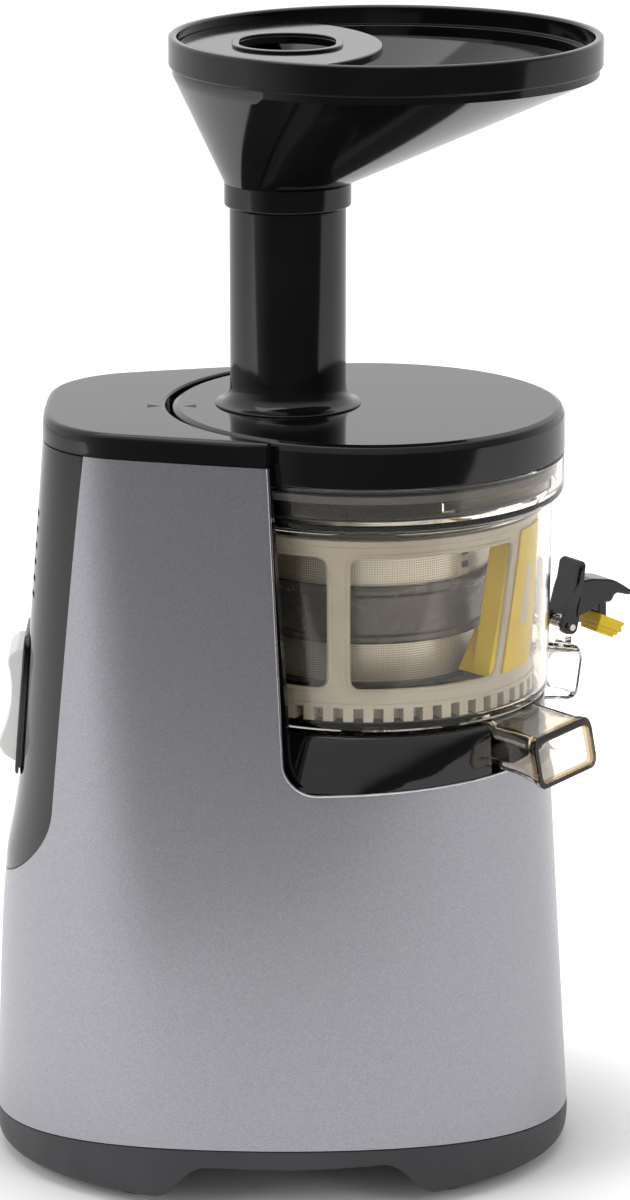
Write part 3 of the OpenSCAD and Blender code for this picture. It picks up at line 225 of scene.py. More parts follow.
def perforatedSteel():
    # rows of small round holes, set out round the drum axis
    sheet, holeShade = (226, 221, 210), (96, 92, 84)
    finish = newFinish("strainerSteel", sheet, 0.36, 0.6)
    tree = finish.node_tree
    place = addNode(tree, "SeparateXYZ", {0: addNode(tree, "TexCoord").outputs["Object"]}).outputs
    turn = addNode(tree, "Math", {0: place["Y"], 1: place["X"]}, operation="ARCTAN2")
    across = addNode(tree, "Math", {0: turn.outputs[0], 1: 50}, operation="MULTIPLY")
    rise = addNode(tree, "Math", {0: place["Z"], 1: 1 / (0.85 * mm)}, operation="MULTIPLY")
    flat = addNode(tree, "CombineXYZ", {0: across.outputs[0], 1: rise.outputs[0]})
    holes = addNode(tree, "TexVoronoi", {"Vector": flat.outputs[0], "Scale": 1.0, "Randomness": 0.0},
                    voronoi_dimensions="2D").outputs["Distance"]
    tinted(finish, holes, sheet, 0.2, 0.34, holeShade)
    relief(finish, spread(finish, holes, 0, 1, None, 0.18, 0.34), 0.12, 0.7)
    return finish


def laminated():
    # stacked sheets seen edge on
    finish = newFinish("coreSheets", (120, 118, 116), 0.45, 0.9)
    wave = addNode(finish.node_tree, "TexWave", {
        "Vector": objectPlace(finish), "Scale": 0.314 / (0.5 * mm)}, bands_direction="Z").outputs[1]
    tinted(finish, wave, (70, 66, 62), 0.3, 0.8)
    relief(finish, wave, 0.05, 0.8)
    return finish


def woundWire():
    # enamelled copper, one layer of turns over the next
    finish = newFinish("copperWire", (176, 92, 44), 0.3, 0.85, Coat_Weight=0.4)
    wave = addNode(finish.node_tree, "TexWave", {
        "Vector": objectPlace(finish), "Scale": 0.314 / (0.9 * mm), "Distortion": 1.2},
        bands_direction="DIAGONAL").outputs[1]
    tinted(finish, wave, (112, 50, 24), 0.2, 0.9)
    relief(finish, wave, 0.25, 0.9)
    return finish


def boardGreen():
    # tracks under the lacquer
    finish = newFinish("boardGreen", (24, 92, 52), 0.32, Coat_Weight=0.3)
    tracks = addNode(finish.node_tree, "TexBrick", {
        "Vector": objectPlace(finish), "Scale": 1 / (9 * mm), "Mortar Size": 0.06}).outputs["Fac"]
    tinted(finish, tracks, (52, 128, 74), 0, 1)
    relief(finish, tracks, 0.03, 0.5)
    return finish


finishes = {
    "charcoal_plastic": moulded("charcoalShell", (54, 53, 56), (48, 47, 50), 0.5, 0.45, 0.04),
    "silver_shell": silverPaint(),
    "black_gloss": moulded("blackGloss", (13, 12, 13), (17, 16, 17), 0.09, 3.0, 0.006),
    "white_gloss": moulded("whiteGloss", (228, 228, 226), (220, 220, 217), 0.16, 3.0, 0.006),
    "clear_plastic": clearPlastic("clearDrum", (243, 239, 232), 0.02, 1.34),
    "cream_plastic": moulded("creamCage", (186, 180, 168), (176, 169, 157), 0.34, 0.9, 0.006),
    "auger_plastic": moulded("augerPlastic", (150, 128, 92), (132, 112, 80), 0.42, 0.9, 0.02),
    "grey_plastic": moulded("greyFrame", (98, 96, 95), (88, 86, 85), 0.26, 3, 0.004),
    "dark_plastic": moulded("darkPlastic", (30, 30, 31), (38, 38, 39), 0.5, 0.6, 0.03),
    "yellow_silicone": moulded("yellowSilicone", (240, 203, 30), (230, 188, 22), 0.45, 0.7, 0.02,
                               Subsurface_Weight=0.15),
    "dark_rubber": moulded("darkRubber", (26, 26, 27), (34, 34, 35), 0.75, 0.5, 0.06),
    "grey_rubber": moulded("greyRubber", (86, 86, 86), (98, 98, 98), 0.7, 0.5, 0.05),
    "fine_steel": perforatedSteel(),
    "shaft_steel": ground("groundSteel", (190, 190, 192), (168, 168, 170), 0.24),
    "zinc_steel": ground("zincSteel", (172, 174, 178), (150, 152, 150), 0.38, (1, 1, 1), 0.8, 0.02),
    "sintered_steel": ground("sinteredSteel", (118, 116, 112), (88, 86, 84), 0.52, (1, 1, 1), 0.2, 0.03),
    "core_steel": laminated(),
    "winding_wire": woundWire(),
    "can_steel": ground("canSteel", (140, 142, 144), (122, 124, 126), 0.4, (1, 1, 6), 0.5, 0.01),
    "cast_alloy": ground("castAlloy", (158, 158, 156), (134, 134, 132), 0.5, (1, 1, 1), 0.4, 0.05),
    "nylon": moulded("nylonGear", (226, 222, 208), (214, 208, 192), 0.44, 0.8, 0.02),
    "bushing_bronze": ground("bushBronze", (168, 122, 70), (142, 100, 56), 0.42, (1, 1, 1), 0.25, 0.02),
    "board_green": boardGreen(),
    "capacitor_case": moulded("capacitorCase", (212, 212, 208), (196, 196, 192), 0.3, 1.5, 0.01),
    "relay_blue": moulded("relayCase", (34, 76, 150), (30, 66, 134), 0.3, 1.2, 0.01),
    "magnet_nickel": ground("nickelPlate", (186, 182, 172), (166, 162, 152), 0.26, (1, 1, 1), 0.6, 0.01),
}
spoutAmber = clearPlastic("amberClear", (236, 231, 219), 0.03)
spoutEdge = clearPlastic("amberEdge", (156, 132, 96), 0.06)
# bright metal for the painted highlight strip along the drum opening's edge
highlightSilver = ground("paintedHighlightTrim", (214, 214, 218), (198, 198, 202), 0.2, (1, 1, 1), 0.6, 0.004)
print("finishes mixed:", len(finishes) + 3)


# ---- mesh helpers, all in millimetres ----

nodeSlot = {row["node"]: row["material_slot"] for row in frame["record"]["subparts"]}


def newPiece(name, points, faces):
    mesh = bpy.data.meshes.new(name)
    mesh.from_pydata([tuple(c * mm for c in p) for p in points], [], faces)
    mesh.validate()
    return placed(name, mesh)


def tidyMesh(piece, weld=0.002, outward=True):
    work = bmesh.new()
    work.from_mesh(piece.data)
    bmesh.ops.remove_doubles(work, verts=work.verts, dist=weld * mm)
    if outward:
        bmesh.ops.recalc_face_normals(work, faces=work.faces)
    work.to_mesh(piece.data)
    work.free()
    return piece


def modified(piece, kind, **settings):
    step = piece.modifiers.new(kind.lower(), kind)
    for key, value in settings.items():
        setattr(step, key, value)
    return step


def bake(piece):
    graph = bpy.context.evaluated_depsgraph_get()
    made = bpy.data.meshes.new_from_object(piece.evaluated_get(graph))
    old = piece.data
    piece.modifiers.clear()
    piece.data = made
    made.name = piece.name
    bpy.data.meshes.remove(old)
    return piece


def cut(piece, other, operation="DIFFERENCE"):
    modified(piece, "BOOLEAN", object=other, operation=operation, solver="EXACT")
    bake(piece)
    bpy.data.objects.remove(other)
    return piece


def joined(piece, *others):
    work = bmesh.new()
    for part in (piece, *others):
        work.from_mesh(part.data)
    work.to_mesh(piece.data)
    work.free()
    for part in others:
        bpy.data.objects.remove(part)
    return piece


def eased(piece, width, segments=2, angle=35):
    modified(piece, "BEVEL", width=width * mm, segments=segments, limit_method="ANGLE",
             angle_limit=math.radians(angle), harden_normals=False, miter_outer="MITER_ARC")
    return bake(piece)


def finishPiece(piece, body, finish, nodes=(), smooth=34):
    # finish is a slot of the record, or a slot and a special mix of it
    slotName, mix = finish if isinstance(finish, tuple) else (finish, finishes[finish])
    mesh = piece.data
    mesh.materials.clear()
    mesh.materials.append(mix)
    mesh.polygons.foreach_set("use_smooth", [True] * len(mesh.polygons))
    mesh.polygons.foreach_set("material_index", [0] * len(mesh.polygons))
    mesh.set_sharp_from_angle(angle=math.radians(smooth))
    modified(piece, "WEIGHTED_NORMAL", keep_sharp=True)
    bake(piece)
    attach(piece, body)
    if nodes:
        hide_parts(*nodes)
    return piece


def ringFaces(loops, count, closed=True, start=0):
    # loops of the same number of points, each joined to the next
    faces = []
    for j in range(loops if closed else loops - 1):
        a, b = start + j * count, start + (j + 1) % loops * count
        for i in range(count):
            k = (i + 1) % count
            faces.append((a + i, a + k, b + k, b + i))
    return faces


def filleted(corners, steps=5):
    # closed outline of (a, b, radius) corners, each rounded with an arc
    line = []
    for i, corner in enumerate(corners):
        p = Vector(corner[:2])
        before, after = Vector(corners[i - 1][:2]) - p, Vector(corners[(i + 1) % len(corners)][:2]) - p
        radius = corner[2] if len(corner) > 2 else 0
        if radius <= 0 or before.length < 1e-6 or after.length < 1e-6:
            line.append((p.x, p.y))
            continue
        half = before.angle(after) / 2
        if half > math.radians(88):
            line.append((p.x, p.y))
            continue
        reach = min(radius / math.tan(half), before.length * 0.49, after.length * 0.49)
        radius = reach * math.tan(half)
        centre = p + (before.normalized() + after.normalized()).normalized() * radius / math.sin(half)
        first = p + before.normalized() * reach - centre
        last = p + after.normalized() * reach - centre
        sweep = first.angle_signed(last, 0)
        for k in range(steps + 1):
            turn = -sweep * k / steps
            line.append((centre.x + first.x * math.cos(turn) - first.y * math.sin(turn),
                         centre.y + first.x * math.sin(turn) + first.y * math.cos(turn)))
    return line


def lofted(name, loops, capped=True):
    # skin over loops with as many points each, capped at both ends or closed into a ring
    count = len(loops[0])
    faces = ringFaces(len(loops), count, not capped)
    if capped:
        faces += [tuple(range(count)), tuple(range((len(loops) - 1) * count, len(loops) * count))]
    return tidyMesh(newPiece(name, [p for loop in loops for p in loop], faces))


def polar(radius, angle, z, centre=(0, 0)):
    return (centre[0] + radius * math.cos(angle), centre[1] + radius * math.sin(angle), z)


def turnedPiece(name, corners, centre=(0, 0), steps=180, fillets=5):
    # solid of revolution about a vertical line from a closed (radius, height) outline
    return lofted(name, [[polar(r, 2 * math.pi * i / steps, z, centre) for i in range(steps)]
                         for r, z in filleted(corners, fillets)], False)


def curveMesh(name, lines, closed=True, **settings):
    # mesh of a curve through lines of points
    curve = bpy.data.curves.new(name, "CURVE")
    for key, value in settings.items():
        setattr(curve, key, value)
    for line in lines:
        spline = curve.splines.new("POLY")
        spline.points.add(len(line) - 1)
        for point, place in zip(spline.points, line):
            point.co = (*(c * mm for c in place), 1)
        spline.use_cyclic_u = closed
    helper = placed(name, curve)
    graph = bpy.context.evaluated_depsgraph_get()
    mesh = bpy.data.meshes.new_from_object(helper.evaluated_get(graph))
    bpy.data.objects.remove(helper)
    return placed(name, mesh)


def flatShape(name, outline, holes, thickness, ease=0.5, steps=2):
    # plate from a closed outline with holes, extruded evenly about z = 0
    lines = [[(x, y, 0) for x, y in line] for line in (outline, *holes)]
    return tidyMesh(curveMesh(name, lines, dimensions="2D", fill_mode="BOTH", offset=-ease * mm,
                              extrude=(thickness / 2 - ease) * mm, bevel_depth=ease * mm,
                              bevel_resolution=steps), 0.01)


def arcLine(centre, radius, start, end, steps):
    return [polar(radius, math.radians(start + (end - start) * k / steps), 0, centre)[:2]
            for k in range(steps + 1)]


def roundedBox(width, height, radius, steps=5):
    w, h = width / 2, height / 2
    return filleted([(-w, -h, radius), (w, -h, radius), (w, h, radius), (-w, h, radius)], steps)


def moved(piece, matrix):
    piece.data.transform(matrix)
    return piece


def inMm(x, y, z):
    return Matrix.Translation(Vector((x, y, z)) * mm)


def about(axis, degrees):
    return Matrix.Rotation(math.radians(degrees), 4, axis)


# ---- outside of the body ----

body = {"middle": -30.2, "halfLength": 103.2, "halfWidth": 84, "lowZ": 12, "topZ": 271,
        "fullMiddle": -50.2, "fullLength": 79.9, "fullWidth": 75, "fullZ": 90,
        "noseX": -10.5, "noseR": 68.2, "tailX": -78, "tailR": 34, "tailSide": 18,
        "skirtZ": 4, "wall": 2.5, "seamMid": 24, "seamR": 596,
        "sillZ": 150, "cornerR": 12, "jambLow": -29.5, "jambTop": -35, "jambTopZ": 276,
        "panelHalf": 46, "bowDrop": 32, "bowZ": 135, "bayR": 70.5}
# where the jamb's corner starts, where it meets the sill, and the low end of the rear panel
cornerZ = body["sillZ"] + body["cornerR"]
sillX = body["jambLow"] + body["cornerR"]
panelZ = body["bowZ"] - body["bowDrop"]
# heights near the ground, and how far the skirt turns in there
turnedIn = ((4, 5, 6, 9, 12), (1.7, 1.0, 0.51, 0.12, 0))


def softMax(a, b, ease):
    return 0.5 * (a + b + math.hypot(a - b, ease))


def bodyReach(angle, z, fuller=1.0):
    # how far the body reaches in the direction of its surface's bearing
    c, s = math.cos(angle), math.sin(angle)
    low = body["middle"] * c + math.hypot(body["halfLength"] * c, body["halfWidth"] * s)
    nose = body["noseX"] * c + body["noseR"]
    tail = body["tailX"] * c + body["tailSide"] * math.hypot(s, 0.05) + body["tailR"] - 0.4
    top = softMax(nose, tail, 1.2) - 0.25
    high = body["topZ"] - body["lowZ"]
    share = (z - body["lowZ"]) / high
    reach = low + (top - low) * max(share, 0)
    if fuller:
        full = body["fullMiddle"] * c + math.hypot(body["fullLength"] * c, body["fullWidth"] * s)
        at = low + (top - low) * (body["fullZ"] - body["lowZ"]) / high
        extra = softMax(at, full, 1.5) - at
        rise = (z - body["lowZ"]) / (body["fullZ"] - body["lowZ"])
        fall = (body["topZ"] - z) / (body["topZ"] - body["fullZ"])
        tent = 0.5 * (rise + fall - math.hypot(rise - fall, 0.25))
        reach += fuller * extra * max(0, min(1, tent))
    return reach


def skinPoint(angle, z, inset=0.0, fuller=1.0):
    if z < body["lowZ"]:
        inset += float(np.interp(z, *turnedIn))
    step = 0.004
    reach = bodyReach(angle, z, fuller) - inset
    slope = (bodyReach(angle + step, z, fuller) - bodyReach(angle - step, z, fuller)) / (2 * step)
    c, s = math.cos(angle), math.sin(angle)
    return (reach * c - slope * s, reach * s + slope * c, z)


def seek(low, high, test):
    # bisection: test says whether the wanted value lies beyond
    for _ in range(26):
        middle = (low + high) / 2
        low, high = (middle, high) if test(middle) else (low, middle)
    return (low + high) / 2


def angleAtX(x, z, fuller=1.0):
    return seek(0, math.pi, lambda a: skinPoint(a, z, 0, fuller)[0] > x)


def angleAtY(y, z, fuller=1.0):
    return seek(math.pi / 2, math.pi, lambda a: skinPoint(a, z, 0, fuller)[1] > y) if y > 0.01 else math.pi


def angleAtBearing(bearing, z, inset=0.0, fuller=1.0):
    # bearing seen from the drum axis, 0 to pi
    def beyond(a):
        x, y, _ = skinPoint(a, z, inset, fuller)
        return math.atan2(y, x) < bearing
    return seek(0, math.pi, beyond)


def bodyRadius(bearing, z, inset=0.0, fuller=1.0):
    turn = abs((bearing + math.pi) % (2 * math.pi) - math.pi)
    x, y, _ = skinPoint(angleAtBearing(turn, z, inset, fuller), z, inset, fuller)
    return math.hypot(x, y)


def seamZ(x):
    return body["seamMid"] - body["seamR"] + math.sqrt(body["seamR"] ** 2 - (x - body["middle"]) ** 2)


def evenly(start, end, z, count, inset=0.0, fuller=1.0):
    # surface bearings between two, spaced by length and a little by bend
    table = np.linspace(start, end, 90)
    line = np.array([skinPoint(a, z, inset, fuller)[:2] for a in table])
    length = np.concatenate([[0], np.cumsum(np.hypot(*np.diff(line, axis=0).T))])
    length += np.abs(table - start) * 25
    return np.interp(np.linspace(0, length[-1], count), length, table)


def jambX(z):
    # front edge of the cover beside the drum
    if z >= cornerZ:
        lean = (body["jambTop"] - body["jambLow"]) / (body["jambTopZ"] - cornerZ)
        return body["jambLow"] + lean * (z - cornerZ)
    return sillX - math.sqrt(max(0.0, body["cornerR"] ** 2 - (cornerZ - z) ** 2))


def mirrorY(points, faces):
    count = len(points)
    return (points + [(x, -y, z) for x, y, z in points],
            faces + [tuple(count + i for i in reversed(face)) for face in faces])


# ---- silver cover ----

cover = {"gap": 0.3, "seamZ": 20, "topZ": 262.3, "ease": 0.45, "rearColumns": 46, "frontColumns": 42}


def coverRows():
    rows = [("seam", t) for t in np.linspace(0, 1, 25)[:-1]]
    rows += [("bow", b) for b in np.linspace(0, math.pi / 2, 16)]
    rows += [("z", z) for z in np.linspace(137, body["sillZ"], 5)]
    rows += [("z", cornerZ - body["cornerR"] * math.sin(a)) for a in np.linspace(math.pi / 2, 0, 10)[1:]]
    rows += [("z", z) for z in np.linspace(166, cover["topZ"], 27)]
    return rows


def silverCover():
    points, faces = [], []
    back, front = cover["rearColumns"], cover["frontColumns"]
    lastRow = None
    for kind, value in coverRows():
        if kind == "seam":
            z, rear = None, math.pi
        elif kind == "bow":
            z = body["bowZ"] - body["bowDrop"] * math.cos(value)
            rear = angleAtY(body["panelHalf"] * math.sin(value), z)
        else:
            z, rear = float(value), angleAtY(body["panelHalf"], value)
        level = panelZ * value + cover["seamZ"] * (1 - value) if kind == "seam" else z
        middle = angleAtX(jambX(level) if level > body["sillZ"] else sillX, level)
        angles = list(evenly(middle, rear, level, back))
        if level <= body["sillZ"] + 0.001:
            angles = list(evenly(0, middle, level, front))[:-1] + angles
        row = []
        for angle in angles:
            height = level
            if kind == "seam":
                for _ in range(4):
                    low = seamZ(skinPoint(angle, height)[0]) + cover["gap"]
                    height = low + (panelZ - low) * value
            row.append(len(points))
            points.append(skinPoint(angle, height))
        if lastRow:
            under = lastRow[len(lastRow) - len(row):]
            for i in range(len(row) - 1):
                faces.append((under[i], under[i + 1], row[i + 1], row[i]))
        lastRow = row
    points, faces = mirrorY(points, faces)
    piece = tidyMesh(newPiece("silverCover", points, faces), 0.02, False)
    modified(piece, "SOLIDIFY", thickness=body["wall"] * mm, offset=-1, use_even_offset=True,
             use_quality_normals=True)
    bake(piece)
    return finishPiece(eased(piece, cover["ease"], 2, 50), "housing", "silver_shell", ["silver_cover"], 40)


def openingHighlightStrip():
    # thin bright strip along the jambs and the sill: a painted highlight where the cover's edge catches the
    # light
    heights = list(np.linspace(cover["topZ"], cornerZ, 30))
    heights += [cornerZ - body["cornerR"] * math.sin(a) for a in np.linspace(0, math.pi / 2, 12)[1:]]
    line = [skinPoint(angleAtX(jambX(z), z), z, 0.25) for z in heights]
    line += [skinPoint(angle, body["sillZ"], 0.25)
             for angle in evenly(angleAtX(sillX, body["sillZ"]), 0, body["sillZ"], 50)[1:]]
    line += [(x, -y, z) for x, y, z in reversed(line[:-1])]
    piece = curveMesh("openingHighlightStrip", [line], False, dimensions="3D", bevel_depth=0.42 * mm,
                      bevel_resolution=3, use_fill_caps=True)
    return finishPiece(piece, "housing", ("silver_shell", highlightSilver))


silverCover()
openingHighlightStrip()
print("silver cover formed")

# ---- base shell ----

base = {"archMid": -25.2, "columns": 264, "rows": 10}
# lower edge of the base's sides, by the distance from the arch's middle
archHeights = ((29.5, 32.5, 35, 37.5, 40.5, 43.5, 46, 48.6), (17.5, 17.2, 16.2, 14.2, 10.8, 7.6, 5.4, 4))


def archLow(x):
    return float(np.interp(abs(x - base["archMid"]), *archHeights))


def baseShell():
    points = []
    angles = evenly(0, 2 * math.pi, 14, base["columns"] + 1)[:-1]
    for t in np.concatenate([[0, 0.06, 0.14], np.linspace(0.24, 1, base["rows"])]):
        for angle in angles:
            height = 12.0
            for _ in range(4):
                x = skinPoint(angle, height)[0]
                side = abs(math.sin(angle)) > 0.35
                low = archLow(x) if side else body["skirtZ"]
                height = low + (seamZ(x) - low) * t
            points.append(skinPoint(angle, height))
    shell = newPiece("baseShell", points, ringFaces(len(points) // len(angles), len(angles), False))
    modified(shell, "SOLIDIFY", thickness=body["wall"] * mm, offset=-1, use_even_offset=True)
    bake(shell)
    eased(shell, 0.4, 2, 60)
    # floor that the feet stand under
    floor = lofted("baseFloor", [[(*skinPoint(a, 18, inset)[:2], z) for a in angles]
                                 for z, inset in ((18.0, 2.9), (18.3, 2.6), (20.2, 2.6), (20.5, 2.9))])
    return finishPiece(joined(shell, floor), "housing", "charcoal_plastic", ["base_shell"], 40)


baseShell()

# ---- rear panel ----

rear = {"gap": 0.3, "topZ": 262.0, "louvreZ": 207, "pitch": 5.8, "half": 1.1, "louvreHalf": 22,
        "louvres": 6, "switchLow": 140.5, "switchHigh": 188.5, "switchHalf": 14.5, "ease": 0.4}


def rearPanel():
    sides = sorted({round(float(y), 3) for y in np.concatenate([
        -np.linspace(45.7, 45, 4), np.linspace(-44.4, -22, 12), np.linspace(-22, -14.5, 4),
        np.linspace(-14.5, 14.5, 13), np.linspace(14.5, 22, 4), np.linspace(22, 44.4, 12),
        np.linspace(45, 45.7, 4)])})
    levels = [140.5, 188.5] + list(np.linspace(146, 184, 7)) + [192, 197, 202]
    for i in range(rear["louvres"]):
        z = rear["louvreZ"] + i * rear["pitch"]
        levels += [z - rear["half"], z + rear["half"]]
    levels += list(np.linspace(241, rear["topZ"], 6))
    levels = sorted(round(float(z), 3) for z in levels)
    points, faces, rows = [], [], []

    def low(y):
        share = min(1, abs(y) / (body["panelHalf"] - rear["gap"]))
        return body["bowZ"] - (body["bowDrop"] - rear["gap"]) * math.sqrt(1 - share ** 2)

    heights = [lambda y, t=t: low(y) + (levels[0] - low(y)) * t for t in np.linspace(0, 1, 12)[:-1]]
    heights += [lambda y, z=z: z for z in levels]
    for rise in heights:
        row = []
        for y in sides:
            z = rise(y)
            # the lower end flares out to lie flush with the cover
            flare = max(0, min(1, (142 - z) / 30)) ** 1.4
            x, at, _ = skinPoint(angleAtY(abs(y), z, flare), z, 0, flare)
            row.append(len(points))
            points.append((x, math.copysign(at, y) if y else 0, z))
        rows.append(row)
    for j in range(len(rows) - 1):
        for i in range(len(sides) - 1):
            y = (sides[i] + sides[i + 1]) / 2
            z = (heights[j](y) + heights[j + 1](y)) / 2
            inSwitch = abs(y) < rear["switchHalf"] and rear["switchLow"] < z < rear["switchHigh"]
            step = (z - rear["louvreZ"]) / rear["pitch"]
            inLouvre = (abs(y) < rear["louvreHalf"] and -0.3 < step < rear["louvres"] - 0.7
                        and abs(step - round(step)) * rear["pitch"] < rear["half"])
            if not (inSwitch or inLouvre):
                # y falls as the bearing grows, so the outside faces backwards
                faces.append((rows[j][i], rows[j + 1][i], rows[j + 1][i + 1], rows[j][i + 1]))
    piece = tidyMesh(newPiece("rearPanel", points, faces), 0.02, False)
    modified(piece, "SOLIDIFY", thickness=body["wall"] * mm, offset=-1, use_even_offset=True)
    bake(piece)
    return finishPiece(eased(piece, rear["ease"], 2, 50), "housing", "black_gloss", ["rear_panel"], 40)


rearPanel()

# ---- switch ----

switch = {"z": 164.5, "proud": 0.4, "bezel": (32, 51), "rocker": (25, 43)}
# the rear of the body leans forwards from foot to top
panelLean = math.atan((body["halfLength"] - body["middle"] + body["tailX"] - body["tailR"])
                      / (body["topZ"] - body["lowZ"]))


def onPanel(z):
    x = body["middle"] - body["halfLength"] + (z - body["lowZ"]) * math.tan(panelLean) - switch["proud"]
    return inMm(x, 0, z) @ Matrix.Rotation(panelLean, 4, "Y")


def switchBezel():
    wide, tall = switch["bezel"]
    inWide, inTall = switch["rocker"][0] + 0.6, switch["rocker"][1] + 2
    loops = []
    for w, h, r, x in ((wide - 4, tall - 4, 3.2, 4.4), (wide - 4, tall - 4, 3.2, 0), (wide, tall, 4.5, 0),
                       (wide, tall, 4.5, -0.5), (wide - 0.5, tall - 0.5, 4.3, -0.95),
                       (wide - 1.4, tall - 1.4, 4, -1.2), (inWide + 2, inTall + 2, 2.8, -1.2),
                       (inWide + 0.6, inTall + 0.6, 2.2, -0.8), (inWide, inTall, 2, 0),
                       (inWide, inTall, 2, 4.4)):
        loops.append([(x, a, b) for a, b in roundedBox(w, h, r, 6)])
    piece = moved(lofted("switchBezel", loops, False), onPanel(switch["z"]))
    return finishPiece(piece, "housing", "black_gloss", ["switch_bezel"])


def rockerKey():
    # side view of the key: a hollowed face between two raised ends
    side = [(0.3, -20.6, 0.8), (-1.6, -20.9, 0.8), (-5.6, -18.6, 2), (-8, -15.2, 1.6), (-6.6, -10.5, 8),
            (-5.2, -5.5, 8), (-4.6, 0, 10), (-4.7, 6, 10), (-5.4, 11, 8), (-6.6, 15, 3), (-6.3, 18, 2),
            (-3.6, 20.4, 1.2), (0.3, 20.8, 0.8), (3.2, 7, 3), (3.6, 0, 6), (3.2, -7, 3)]
    line = filleted(side, 4)
    half = switch["rocker"][0] / 2
    loops = []
    for y, shrink in ((-half, 0.8), (-half + 0.25, 0.35), (-half + 0.8, 0), (half - 0.8, 0),
                      (half - 0.25, 0.35), (half, 0.8)):
        loops.append([(a * (1 - shrink / 7), y, b * (1 - shrink / 20)) for a, b in line])
    piece = moved(lofted("rockerKey", loops), onPanel(switch["z"]))
    return finishPiece(piece, "power_switch", "white_gloss", ["rocker"], 40)


switchBezel()
rockerKey()
print("base, rear panel and switch formed")

# ---- top cover ----

plate = {"columns": 150, "markAt": (-75.3, -6)}


def markShape(name, x, y, z, turn, size=4.6):
    # small flat alignment mark
    line = [polar(size * 0.6, a, 0)[:2] for a in (0, 2 * math.pi / 3, -2 * math.pi / 3)]
    piece = flatShape(name, line, (), 0.12, 0.03, 1)
    return moved(piece, inMm(x, y, z) @ about("Z", turn))


def topCover():
    start = seek(math.pi / 2, math.pi, lambda b: bodyRadius(b, 266) * math.cos(b) > jambX(266))
    loops, inner = [], body["bayR"]
    for bearing in np.linspace(start, 2 * math.pi - start, plate["columns"]):
        out = bodyRadius(bearing, 267, -0.45, 0)
        f = min(1.0, (out - inner) / 6.5)
        section = [(inner, 262.6), (inner, 269.9)]
        section += [(inner + 0.9 - 0.9 * math.cos(a), 270.1 + 0.9 * math.sin(a))
                    for a in np.linspace(0.2, math.pi / 2, 4)]
        bend = [(2.9, 271), (2.2, 270.93), (1.5, 270.7), (0.95, 270.3), (0.5, 269.6), (0.2, 268.6), (0.02, 267)]
        section += [(out - back * f, z) for back, z in bend]
        section += [(out, 264), (out + 0.1, 262.6)]
        loops.append([polar(r, bearing, z) for r, z in section])
    finishPiece(lofted("topCover", loops), "housing", "black_gloss", ["top_cover"], 40)
    mark = markShape("coverMark", *plate["markAt"], 271.0, 0)
    return finishPiece(mark, "housing", "dark_plastic")


topCover()

# ---- drum seat ----

seat = {"bore": 9.45, "pulpTurn": -34, "pulpWide": 35, "juiceTurn": 35, "juiceWide": 22}


def bayLining():
    # wall of the bay behind the drum, thin where it lines the cover
    rows = [151, 153, 156, 159, 162] + list(np.linspace(168, 262.2, 16))
    inner, outer = [], []
    count = 90
    for z in rows:
        x = jambX(z) - 0.6
        start = math.atan2(skinPoint(angleAtX(x, z), z)[1], x)
        for bearing in np.linspace(start, 2 * math.pi - start, count):
            far = min(body["bayR"] + body["wall"], bodyRadius(bearing, z, 2.65, 0))
            inner.append(polar(min(body["bayR"], far - 0.6), bearing, z))
            outer.append(polar(far, bearing, z))
    faces, total = [], len(inner)
    for j in range(len(rows) - 1):
        for i in range(count - 1):
            a, b = j * count + i, (j + 1) * count + i
            faces.append((a, b, b + 1, a + 1))
            faces.append((total + a, total + a + 1, total + b + 1, total + b))
        for i in (0, count - 1):
            a, b = j * count + i, (j + 1) * count + i
            faces.append((a, total + a, total + b, b))
    for j in (0, len(rows) - 1):
        for i in range(count - 1):
            a = j * count + i
            faces.append((a, a + 1, total + a + 1, total + a))
    return tidyMesh(newPiece("bayWall", inner + outer, faces))


def seatBlock():
    rows = [(147.6, 74, 3.2), (149.9, 74, 3.2), (150.1, 73.9, 0.7), (153, 72.2, 0.6), (157, 69.9, 0.6),
            (162, 67, 0.6), (165.5, 65, 0.6), (167, 64, 0.6), (167.7, 63.3, 0.8), (168, 62.4, 1)]
    turns = [2 * math.pi * i / 200 for i in range(200)]
    loops = [[polar(min(r, bodyRadius(turn, z, inset, 0)), turn, z) for turn in turns] for z, r, inset in rows]
    loops += [[polar(seat["bore"], turn, z) for turn in turns] for z in (168, 147.6)]
    return lofted("drumSeat", loops, False)


def blockAt(name, turn, near, far, wide, low, high):
    # plain block along a bearing
    half = wide / 2
    corners = ((near, -half), (far, -half), (far, half), (near, half))
    return moved(lofted(name, [[(x, y, z) for x, y in corners] for z in (low, high)]), about("Z", turn))


def drumSeat():
    block = seatBlock()
    cut(block, blockAt("pulpWay", seat["pulpTurn"], 13, 120, seat["pulpWide"], 150.02, 200))
    cut(block, blockAt("juiceWay", seat["juiceTurn"], 42, 120, seat["juiceWide"], 152, 200))
    eased(block, 0.5, 2, 50)
    return finishPiece(block, "housing", "black_gloss", ["drum_seat"], 40)


drumSeat()
finishPiece(bayLining(), "housing", "black_gloss", ["bay_wall"], 40)
print("top cover and drum seat formed")

# ---- drum ----

drum = {"baseZ": 168.3, "floorZ": 171, "footR": 64.2, "wallR": 65, "collarR": 69, "collarTop": 255.3,
        "boreR": 6.6, "hubH": 9.5, "pulpTurn": -34, "pulpReach": 82, "pulpWide": 35, "slope": 3,
        "juiceTurn": 35, "juiceWide": 20, "spoutWall": 2, "ramps": 4}


def boxLoft(name, turn, sections, radius=2.0, lean=0.0):
    # tube of rounded rectangles along a bearing; sections are (reach, low, high, width), and
    # the outer ones lean, so that the top lies further in
    loops = []
    for reach, low, high, wide in sections:
        r = min(radius, (high - low) / 2.2, wide / 2.2)
        slope = lean * max(0, min(1, (reach - 66) / 14))
        line = [(a, b + (low + high) / 2) for a, b in roundedBox(wide, high - low, r)]
        loops.append([(reach - slope * (b - low) / (high - low), a, b) for a, b in line])
    return moved(lofted(name, loops), about("Z", turn))


